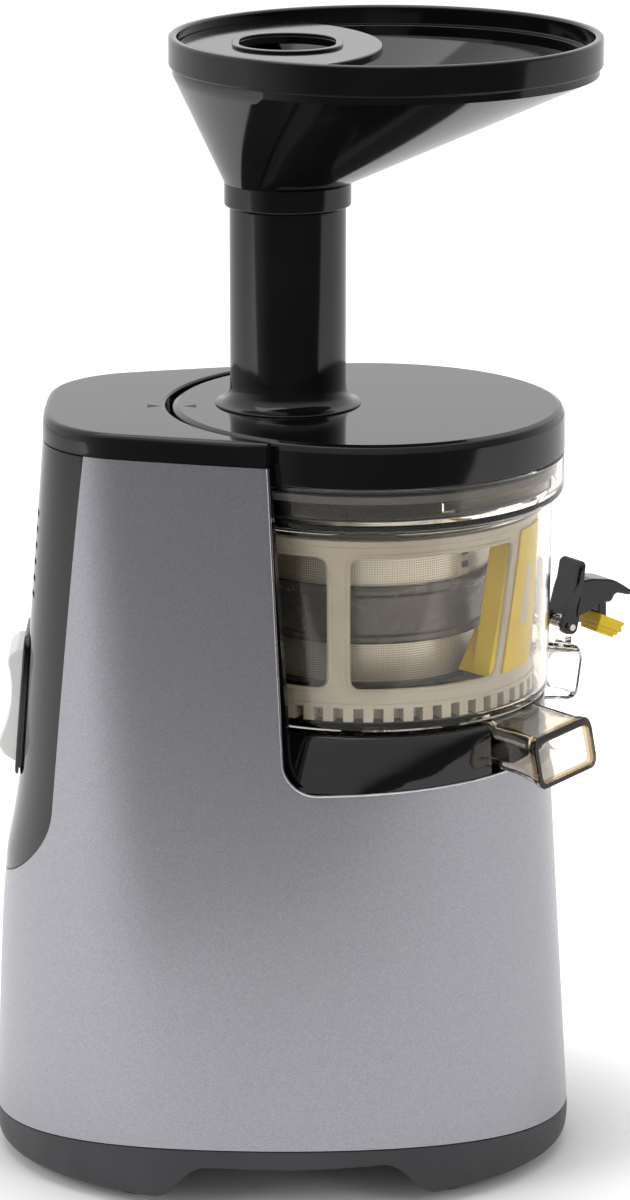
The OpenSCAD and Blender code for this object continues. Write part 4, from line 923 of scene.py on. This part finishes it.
def pulpLow(reach):
    bend = max(0, (reach - 66) / 18) ** 1.5 * 2.6
    return 151 + (drum["pulpReach"] - reach) * math.tan(math.radians(drum["slope"])) - bend


def pulpSpout(hollow):
    w, wide = drum["spoutWall"], drum["pulpWide"]
    if hollow:
        return boxLoft("pulpHollow", drum["pulpTurn"], [
            (18, pulpLow(18) + w, 168.2, wide - 2 * w), (60.6, pulpLow(60.6) + w, 167.1, wide - 2 * w),
            (63, pulpLow(63) + w, 165.4, wide - 2 * w), (72, pulpLow(72) + w, 164.8, wide - 2 * w),
            (78, pulpLow(78) + w, 163.9, wide - 2 * w), (82, pulpLow(82) + w - 0.4, 163.6, wide - 2 * w + 1.6),
            (87, pulpLow(87) + w - 0.7, 163.4, wide - 2 * w + 3.4)], 2.6, 3.4)
    return boxLoft("pulpSpout", drum["pulpTurn"], [
        (16, pulpLow(16), 169.0, wide), (61.8, pulpLow(61.8), 169.0, wide), (63.6, pulpLow(63.6), 167.8, wide),
        (72, pulpLow(72), 167.0, wide), (80.6, pulpLow(80.6) - 0.1, 165.9, wide + 1.4),
        (82, pulpLow(82) - 0.4, 166.0, wide + 3), (84, pulpLow(84) - 0.3, 165.9, wide + 3.2),
        (84.4, pulpLow(84.4) + 0.1, 165.5, wide + 2.6)], 4, 3.4)


def juiceLow(reach):
    return 156.5 - (reach - 44) * 5.9 / 42.5


def juiceSpout(hollow):
    w, wide = drum["spoutWall"], drum["juiceWide"]
    if hollow:
        return boxLoft("juiceHollow", drum["juiceTurn"], [
            (46, juiceLow(46) + w, 171.6, wide - 2 * w), (61.2, juiceLow(61.2) + w, 175, wide - 2 * w),
            (70, juiceLow(70) + w, 172.6, wide - 2 * w), (82, juiceLow(82) + w, 169, wide - 2 * w),
            (92, juiceLow(86) + w - 0.9, 167.0, wide - 2 * w + 1.4)], 3.4, -3)
    return boxLoft("juiceSpout", drum["juiceTurn"], [
        (44, juiceLow(44), 170, wide), (60, juiceLow(60), 172.5, wide), (62.9, juiceLow(62.9), 177, wide),
        (70, juiceLow(70), 175, wide), (83.2, juiceLow(83.2), 171, wide),
        (84.4, juiceLow(84.4) - 0.2, 171, wide + 1), (86.2, juiceLow(86.4) + 0.3, 170.4, wide + 1),
        (86.5, juiceLow(86.4) + 0.7, 170, wide + 0.5)], 4.4, -3)


def arcBlock(name, rIn, rOut, low, high, start, sweep, steps=14):
    section = ((rIn, low), (rOut, low), (rOut, high), (rIn, high))
    return lofted(name, [[polar(r, math.radians(start + sweep * k / steps), z) for r, z in section]
                         for k in range(steps + 1)])


def capFrame():
    # pin of the juice cap, with +X outwards along the spout
    return about("Z", drum["juiceTurn"]) @ inMm(87, 0, 177.5)


def sidePlate(name, outline, width, ease=0.5):
    # plate across the spout, from a side view in the cap's frame
    return moved(flatShape(name, outline, (), width, ease), capFrame() @ about("X", 90))


def circleLine(radius, steps=40):
    return arcLine((0, 0), radius, 0, 360, steps)[:-1]


def clearDrum():
    d = drum
    shell = turnedPiece("clearDrum", [
        (d["boreR"], d["baseZ"], 0.2), (d["footR"] - 3.4, d["baseZ"], 1.5), (d["footR"] - 0.6, 169.6, 2),
        (d["footR"], 172, 3), (d["wallR"], 239.5, 2), (68.6, 241.2, 1.4), (d["collarR"], 243, 1),
        (d["collarR"], 254.6, 0.5), (d["collarR"] - 0.5, d["collarTop"], 0.4), (66.9, d["collarTop"], 0.4),
        (66.8, 244.5, 1.4), (65.6, 242.8, 1.2), (62.9, 240.5, 1.5), (62.0, 172.2, 1.8),
        (60.4, d["floorZ"], 0.8), (8.4, d["floorZ"], 0.6), (8.4, d["floorZ"] + d["hubH"], 0.3),
        (d["boreR"], d["floorZ"] + d["hubH"], 0.2)],
        steps=200)
    cut(shell, pulpSpout(False), "UNION")
    cut(shell, juiceSpout(False), "UNION")
    for turn in range(d["ramps"]):
        cut(shell, arcBlock("ramp", 65.3, 67.4, 246.4, 249.6, 22 + 90 * turn, 46, 24), "UNION")
    lug = arcLine((0, 0), 3.2, -10, 190, 16) + [(-6, -8), (2.4, -9.5)]
    cut(shell, sidePlate("juiceLug", lug, 6, 0.3), "UNION")
    cut(shell, pulpSpout(True))
    cut(shell, juiceSpout(True))
    cut(shell, blockAt("pulpDrop", d["pulpTurn"], 24, 38, 14, 164, 176))
    finishPiece(shell, "drum_unit", "clear_plastic", ["drum"], 32)
    # the pulp spout is tinted
    shell.data.materials.append(spoutAmber)
    shell.data.materials.append(spoutEdge)
    for face in shell.data.polygons:
        x, y, z = face.center / mm
        r, turn = math.hypot(x, y), math.degrees(math.atan2(y, x))
        along = r * math.cos(math.radians(turn - d["pulpTurn"]))
        if z < 168.35 and r > 30 and abs(turn - d["pulpTurn"]) < 40:
            face.material_index = 2 if along > 82.6 - (z - 148) * 0.19 else 1
        elif 246.2 < z < 249.8 and 65.2 < r < 66.5 and (abs(face.normal.z) > 0.5 or face.area < 3e-6):
            face.material_index = 2
    return shell


clearDrum()
print("drum formed")

# ---- strainer ----

strainer = {"lowR": 40.5, "topR": 43.5, "sheet": 0.6, "posts": 8, "postTurn": 10, "idlerTurn": 150}


def strainerFrame():
    low, top = strainer["lowR"] - strainer["sheet"], strainer["topR"] - strainer["sheet"]
    parts = [turnedPiece("strainerFrame", [
        (low - 1.2, 195, 0.3), (42.8, 195, 0.5), (43.6, 196, 0.5), (43.4, 197.6, 0.5), (42.3, 198.4, 0.8),
        (42.6, 205, 4), (43.9, 212, 2), (45.4, 213.2, 0.7), (45.8, 214.4, 0.6), (45.5, 216, 0.5),
        (top - 1.2, 216, 0.3), (top - 1.2, 212.5, 1), (low - 1.2, 199, 1)], steps=160)]
    parts.append(turnedPiece("topRing", [
        (top - 1.2, 232, 0.4), (45.9, 232, 0.5), (45.9, 233.6, 0.4), (45.1, 234.2, 0.4), (45.1, 236, 0.5),
        (top - 1.2, 236, 0.5)], steps=160))
    parts.append(turnedPiece("floorRing", [
        (13.5, 178.6, 0.3), (40.5, 178.6, 0.6), (40.5, 181, 0.5), (13.5, 181, 0.3)], steps=120))
    for k in range(strainer["posts"]):
        turn = 360 / strainer["posts"] * k + strainer["postTurn"]
        parts.append(blockAt("post", turn, low - 1.3, low - 0.05, 2, 180.9, 195.2))
        parts.append(blockAt("post", turn, top - 1.3, top - 0.05, 2, 215.9, 232.2))
    for turn in (strainer["idlerTurn"] - 90, strainer["idlerTurn"] + 90):
        spot = polar(34, math.radians(turn), 0)[:2]
        parts.append(turnedPiece("stand", [(0, 171.3), (3, 171.3, 0.3), (3, 179), (0, 179)], spot, 32))
    return finishPiece(joined(*parts), "drum_unit", "grey_plastic", ["strainer_frame"])


def strainerSheet():
    parts = []
    for r, low, high in ((strainer["lowR"], 181, 195), (strainer["topR"], 216, 232)):
        back = r - strainer["sheet"]
        parts.append(turnedPiece("strainerSheet", [(back, low), (r, low), (r, high), (back, high)], steps=200))
    return finishPiece(joined(*parts), "drum_unit", "fine_steel", ["strainer_mesh"])


def strainerMark():
    # pale strip with three dark slots on the upper sheet
    strip = arcBlock("strainerMark", 43.4, 43.75, 216.5, 231.6, -45, 9, 6)
    slots = [arcBlock("slot", 43.5, 43.95, z, z + 2.2, -42.6, 4.4, 4) for z in (219, 223.4, 227.8)]
    finishPiece(joined(*slots), "drum_unit", ("fine_steel", finishes["grey_plastic"]))
    return finishPiece(strip, "drum_unit", ("fine_steel", finishes["cream_plastic"]))


strainerFrame()
strainerSheet()
strainerMark()

# ---- brush cage and wipers ----

cage = {"lowR": 59.3, "topR": 60.3, "low": 177.2, "high": 236, "sill": 182.6, "head": 230.6, "corner": 4.5,
        "teeth": 54,
        # windows: start and sweep at the head, in degrees, and how far each end leans at the sill
        "windows": ((-97, 64, 0, -9), (-9, 62, -9, 0), (58, 62, 0, -9), (144, 62, -9, 0), (211, 46, 0, 0)),
        "flaps": (-21, 132)}


def wrap(turn, z, inset=0.0):
    share = (z - cage["low"]) / (cage["high"] - cage["low"])
    return polar(cage["lowR"] + (cage["topR"] - cage["lowR"]) * share - inset, math.radians(turn), z)


def windowRow(number, steps=20):
    # window edge and cell edge of one bay, run round with the same number of points
    perMm = math.degrees(1 / 59.8)
    start, sweep, leanA, leanB = cage["windows"][number]
    before = cage["windows"][number - 1]
    after = cage["windows"][(number + 1) % len(cage["windows"])]
    gapA = (start - before[0] - before[1]) % 360 / 2
    gapB = (after[0] - start - sweep) % 360 / 2
    w, h = sweep / 2 / perMm, (cage["head"] - cage["sill"]) / 2
    mid, r = (cage["head"] + cage["sill"]) / 2, cage["corner"]
    middle = start + sweep / 2
    hole, edge = [], []
    for sx, sy, dx, dy in ((1, -1, 0, 1), (1, 1, -1, 0), (-1, 1, 0, -1), (-1, -1, 1, 0)):
        for k in range(steps):
            a, b = sx + dx * 2 * k / steps, sy + dy * 2 * k / steps
            x, z = a * w, b * h
            cx, cz = abs(x) - (w - r), abs(z) - (h - r)
            if cx > 0 and cz > 0:
                away = math.hypot(cx, cz)
                x = math.copysign(w - r + cx * r / away, x)
                z = math.copysign(h - r + cz * r / away, z)
            down = (1 - z / h) / 2
            lean = (leanA * (1 - x / w) / 2 + leanB * (1 + x / w) / 2) * down
            hole.append((middle + x * perMm + lean, mid + z))
            level = cage["low"] if b <= -1 else cage["high"] if b >= 1 else mid + b * h
            side = middle + a * sweep / 2 + (gapB if a >= 1 else -gapA if a <= -1 else 0)
            if abs(a) < 1:
                side = middle + a * (sweep / 2 + (gapB if a > 0 else gapA))
            share = (cage["head"] - level) / (cage["head"] - cage["sill"])
            edge.append((side + (leanA * (1 - a) / 2 + leanB * (1 + a) / 2) * max(0, min(1, share)), level))
    return hole, edge


def rolledEdge(line, radius):
    # rounded bead that runs along a closed line on the cage wall
    return curveMesh("bead", [line], dimensions="3D", bevel_depth=radius * mm, bevel_resolution=2)


def brushCage():
    points, faces, beads = [], [], []
    for i in range(len(cage["windows"])):
        hole, edge = windowRow(i)
        start = len(points)
        for share in (0.0, 0.12, 0.5, 1.0):
            for (a, z), (b, y) in zip(hole, edge):
                points.append(wrap(a + (b - a) * share, z + (y - z) * share, 0.5))
        faces += ringFaces(4, len(hole), False, start)
        beads.append(rolledEdge([wrap(a, z, 1.05) for a, z in hole], 1.0))
    wall = tidyMesh(newPiece("brushCage", points, [tuple(reversed(face)) for face in faces]), 0.05, False)
    modified(wall, "SOLIDIFY", thickness=1.6 * mm, offset=-1, use_even_offset=True)
    bake(wall)
    rim = turnedPiece("cageRim", [
        (57.4, 233.2, 0.4), (59.6, 233.2, 0.4), (60.25, 234, 0.3), (60.25, 236, 0.5),
        (57.4, 236, 0.5)], steps=160)
    foot = turnedPiece("cageFoot", [
        (49.8, 171.3, 0.3), (53, 171.3, 0.4), (53, 176.4, 0.6), (59.2, 176.6, 0.3), (59.2, 178.4, 0.6),
        (56.9, 178.4, 0.4), (56.9, 177.4, 0.4), (49.8, 177.4, 0.5)], steps=160)
    tabs = []
    for k in range(cage["teeth"]):
        turn = (k + 0.5) * 360 / cage["teeth"]
        tabs.append(blockAt("tooth", turn, 49.2, 50.6, 2.2, 171.5, 177))
        tabs.append(blockAt("bead", turn, 52.6, 59.3, 3.5, 171.8, 177))
    return finishPiece(joined(wall, rim, foot, *tabs, *beads), "brush", "cream_plastic", ["brush_cage"], 36)


def bentPlate(name, corners, inset, thick, ease=0.4, across=14, up=12):
    # small plate that follows the cage wall, between four (bearing, height) corners
    (a0, z0), (b0, _), (b1, z1), (a1, _) = corners
    points, faces = [], []
    for t in np.linspace(0, 1, up):
        left, right = a0 + (a1 - a0) * t, b0 + (b1 - b0) * t
        points += [wrap(left + (right - left) * k / across, z0 + (z1 - z0) * t, inset)
                   for k in range(across + 1)]
    for j in range(up - 1):
        for i in range(across):
            a = j * (across + 1) + i
            faces.append((a, a + 1, a + across + 2, a + across + 1))
    piece = newPiece(name, points, faces)
    modified(piece, "SOLIDIFY", thickness=thick * mm, offset=-1)
    return eased(bake(piece), ease, 2, 50)


def leaningBlade(turn, lean, near, far, thick, low, high):
    # radial blade whose foot is turned against its head
    loops, half = [], thick / 2
    for t in np.linspace(0, 1, 10):
        matrix = about("Z", turn + lean * (1 - t))
        loops.append([(*(matrix @ Vector((r, y, 0)))[:2], low + (high - low) * t)
                      for r, y in ((near, -half), (far, -half), (far, half), (near, half))])
    return lofted("blade", loops)


def brushWipers():
    parts, clips = [], []
    for turn in cage["flaps"]:
        low, high = 183.2, 232.4
        parts.append(bentPlate("brushWipers", [(turn - 18.5, low), (turn - 0.5, low), (turn + 10, high),
                                               (turn - 8.5, high)], -0.25, 0.8, 0.25))
        parts.append(leaningBlade(turn - 11, -12, 51, 58.4, 2.6, low, high))
        parts.append(leaningBlade(turn - 11.5, -12, 44.4, 51.2, 1.2, low, 196))
        clips.append(bentPlate("wiperClips", [(turn - 9, 199), (turn - 3.5, 199), (turn + 0.5, 219),
                                              (turn - 3.5, 219)], -0.32, 0.5, 0.12, 4, 6))
    finishPiece(joined(*parts), "brush", "yellow_silicone", ["brush_wipers"])
    return finishPiece(joined(*clips), "brush", "cream_plastic")


brushCage()
brushWipers()
print("strainer, brush cage and wipers formed")

# ---- lid and feed tube ----

lid = {"tubeX": -27.7, "boreR": 17.5, "tubeTop": 340.7, "markAt": (-61, -6)}


def lidDisc():
    disc = turnedPiece("lidDisc", [
        (0, 271), (0, 268.5), (62, 268.5, 0.5), (62, 244.3, 0.4), (64.6, 244.3, 0.5), (64.6, 267.4, 0.6),
        (66.6, 267.4, 0.6), (66.6, 255.6, 0.4), (69.1, 255.6, 0.5), (69.05, 262), (68.9, 268, 1.2),
        (68.0, 270.2, 1.0), (66.2, 270.95, 0.8)], steps=200, fillets=4)
    hub = turnedPiece("lidHub", [(4.65, 245), (8.4, 245, 0.4), (8.4, 269), (4.65, 269)], steps=48)
    cut(disc, turnedPiece("tubeWay", [(0, 240), (20.25, 240), (20.25, 280), (0, 280)], (lid["tubeX"], 0), 96))
    finishPiece(joined(disc, hub), "lid_unit", "black_gloss", ["lid"], 40)
    mark = markShape("lidMark", *lid["markAt"], 270.95, 180)
    return finishPiece(mark, "lid_unit", "dark_plastic")


def feedTube():
    flare = [(20.3 + 4.9 * (1 - math.sin(a)), 271.8 + 5.6 * (1 - math.cos(a)))
             for a in np.linspace(0.1, math.pi / 2, 7)]
    tube = turnedPiece("feedTube", [
        (lid["boreR"], 249, 0.3), (20.2, 249, 0.4), (20.2, 271.06), (25.6, 271.06, 0.2), (25.3, 271.6, 0.3),
        *flare, (20.2, 280, 1), (20.2, lid["tubeTop"], 0.5), (lid["boreR"], lid["tubeTop"], 0.4)],
        (lid["tubeX"], 0), 128)
    return finishPiece(tube, "lid_unit", "black_gloss", ["feed_tube"], 40)


lidDisc()
feedTube()

# ---- hopper ----

hopper = {"rimX": 6, "guardR": 67, "guardX": -62, "holeR": 16.5, "holeSide": 4, "steps": 168}


def hopperNeck():
    neck = turnedPiece("hopperNeck", [
        (14.9, 316, 0.4), (17.2, 316, 0.8), (17.2, 341, 0.2), (22, 341, 0.7), (22, 349, 0.2), (14.9, 349, 0.2)],
        (lid["tubeX"], 0), 128)
    return finishPiece(neck, "hopper_unit", "black_gloss", ["hopper_neck"], 40)


def hopperBowl():
    x0, x1 = lid["tubeX"], hopper["rimX"]
    loops = [(x0 + (x1 - x0) * t, 22 + 51.4 * t, 349.05 + 37.9 * t) for t in np.linspace(0, 1, 16)]
    rim = [(73.4, 389.4), (73.7, 389.75), (74.3, 389.85), (74.6, 390.2), (74.6, 399.0), (74.5, 399.6),
           (74.1, 399.95), (73.4, 400), (72.3, 399.95), (71.8, 399.6), (71.6, 399), (71.6, 394),
           (71.4, 393.55), (69, 393.5), (68.6, 393.2), (68.6, 390.5)]
    loops += [(x1, r, z) for r, z in rim]
    loops += [(x0 + (x1 - x0) * t, 14.9 + 53.7 * t, 349.05 + 40.6 * t) for t in np.linspace(1, 0, 16)]
    turns = [2 * math.pi * i / hopper["steps"] for i in range(hopper["steps"])]
    bowl = lofted("hopperBowl", [[polar(r, a, z, (x, 0)) for a in turns] for x, r, z in loops], False)
    return finishPiece(bowl, "hopper_unit", "black_gloss", ["hopper"], 40)


def hopperGuard():
    rimR, cx, gx, gr = 71.3, hopper["rimX"], hopper["guardX"], hopper["guardR"]
    along = (rimR ** 2 - gr ** 2 + (cx - gx) ** 2) / (2 * (cx - gx))
    cross = (cx - along, math.sqrt(rimR ** 2 - along ** 2))
    first = math.degrees(math.atan2(cross[1], cross[0] - cx))
    second = math.degrees(math.atan2(cross[1], cross[0] - gx))
    line = arcLine((cx, 0), rimR, first, 360 - first, 90) + arcLine((gx, 0), gr, -second, second, 50)[1:-1]

    def oblong(radius):
        tx, side = lid["tubeX"], hopper["holeSide"]
        return arcLine((tx, side), radius, 0, 180, 30) + arcLine((tx, -side), radius, 180, 360, 30)

    hole = list(reversed(oblong(hopper["holeR"])))
    sheet = moved(flatShape("hopperGuard", line, (hole,), 3, 0.6, 3), inMm(0, 0, 395.1))
    collar = moved(flatShape("guardCollar", oblong(hopper["holeR"] + 2.6), (hole,), 1.2, 0.4, 3),
                   inMm(0, 0, 396.9))
    return finishPiece(joined(sheet, collar), "hopper_unit", "black_gloss", ["hopper_guard"], 40)


hopperNeck()
hopperBowl()
hopperGuard()
print("lid, feed tube and hopper formed")

# ---- juice cap ----

cap = {"wide": 13, "noseWide": 11.4, "pressWide": 6.4, "plugX": 18.4, "plugY": -1.5, "plugTurn": -24.8}


def capLever():
    arm = filleted([(-3.6, 1.2, 1), (-3.2, -2.2, 2.4), (2.6, -3.4, 2.4), (4.6, 3, 6), (5, 10, 9),
                    (6.4, 23.4, 1.1), (4, 24.2, 1.1), (2.5, 16, 9), (-1, 8, 8)], 5)
    nose = filleted([(3, 3), (9, 4.6, 3), (14, 6.9, 2), (19, 6.5, 2), (20.6, 9.8, 3), (27.4, 7.8, 0.7),
                     (28.5, 9.4, 0.9), (20, 14.8, 14), (10, 16.6, 12), (4.8, 16.4)], 5)
    press = filleted([(14.8, 1.6, 0.3), (18.6, 0.2, 0.3), (18.4, 8, 0.3), (15, 8, 0.3)], 2)
    lever = sidePlate("capLever", arm, cap["wide"], 0.7)
    front = filleted([(-5.6, -6, 0.5), (5.6, -6, 0.5), (5, 7, 9), (6.5, 16, 12), (6.5, 24.3, 5.8),
                      (-6.5, 24.3, 5.8), (-6.5, 16, 12), (-5, 7, 9)], 8)
    paddle = moved(flatShape("paddle", front, (), 60, 0.02, 1), capFrame() @ about("Z", 90) @ about("X", 90))
    cut(lever, paddle, "INTERSECT")
    cut(lever, sidePlate("lugWay", circleLine(5.4), 6.8, 0.05))
    cut(lever, sidePlate("pinWay", circleLine(1.25, 24), 20, 0.02))
    lever = joined(lever, sidePlate("nose", nose, cap["noseWide"], 0.6),
                   sidePlate("press", press, cap["pressWide"], 0.4))
    return finishPiece(lever, "juice_cap", "black_gloss", ["cap_lever"], 40)


def plugOutline(corners):
    # turned and moved from the plug's own frame to the cap's
    turn = math.radians(cap["plugTurn"])
    c, s = math.cos(turn), math.sin(turn)
    return filleted([(cap["plugX"] + x * c - y * s, cap["plugY"] + x * s + y * c, r) for x, y, r in corners], 3)


def capPlug():
    face = [(-5.8, -2, 0.9), (5.8, -2, 0.9), (6, -0.7, 0.4), (5.3, -0.4, 0.3), (5.3, 0.5, 0.3), (6, 0.8, 0.3),
            (6, 2, 0.5), (-6, 2, 0.5)]
    plug = sidePlate("capPlug", plugOutline(face), cap["wide"], 0.5)
    for half, low, high, wide in ((5.2, -3.4, -1.6, 11.4), (4.4, -4.6, -3.2, 9.8)):
        edge = [(x, y, 0.5) for x, y in ((-half, low), (half, low), (half, high), (-half, high))]
        plug = joined(plug, sidePlate("plugStep", plugOutline(edge), wide, 0.4))
    return finishPiece(plug, "juice_cap", "yellow_silicone", ["cap_plug"], 40)


capLever()
capPlug()
print("juice cap formed")

# ---- parts that keep their solid ----

for nodeName, node in frame["nodes"].items():
    if not node.hide_render:
        for place in node.material_slots:
            place.material = finishes[nodeSlot[nodeName]]

# ---- floor ----

floor = newPiece("floor", [(-4000, -640, -0.3), (4000, -640, -0.3), (4000, 6000, -0.3), (-4000, 6000, -0.3)],
                 [(0, 1, 2, 3)])
paper = newFinish("palePaper", (246, 246, 246), 0.9)
relief(paper, speckle(paper, 1.5, 3), 0.05, 0.3)


def whiteToCamera(finish, glow):
    # lifts the floor to white for the camera and glass, less for gloss; the lift fades out near and under the
    # machine, leaving a painted shadow there
    tree = finish.node_tree
    path = addNode(tree, "LightPath").outputs
    direct = addNode(tree, "Math", {0: path["Is Camera Ray"], 1: path["Is Transmission Ray"]},
                     operation="MAXIMUM")
    seen = addNode(tree, "Math", {0: path["Is Glossy Ray"], 1: 0.4, 2: direct.outputs[0]},
                   operation="MULTIPLY_ADD")
    # oval mask round the machine's footprint: the glow grows with distance, so the floor close to and under the
    # machine keeps a painted shadow
    place = addNode(tree, "TexCoord").outputs["Object"]
    shape = addNode(tree, "Mapping", {"Vector": place, "Location": (0.29, 0, 0), "Scale": (9.7, 11.9, 0)})
    away = addNode(tree, "VectorMath", {0: shape.outputs[0]}, operation="LENGTH").outputs["Value"]
    lift = ranged(tree, away, (0.85, 2.1, 0.0, glow), "SMOOTHSTEP")
    strength = addNode(tree, "Math", {0: seen.outputs[0], 1: lift}, operation="MULTIPLY").outputs[0]
    glowing = addNode(tree, "Emission", {"Strength": strength}).outputs[0]
    added = addNode(tree, "AddShader", {0: tree.nodes["Principled BSDF"].outputs[0], 1: glowing})
    tree.links.new(added.outputs[0], tree.nodes["Material Output"].inputs["Surface"])


whiteToCamera(paper, 0.62)
floor.data.materials.append(paper)
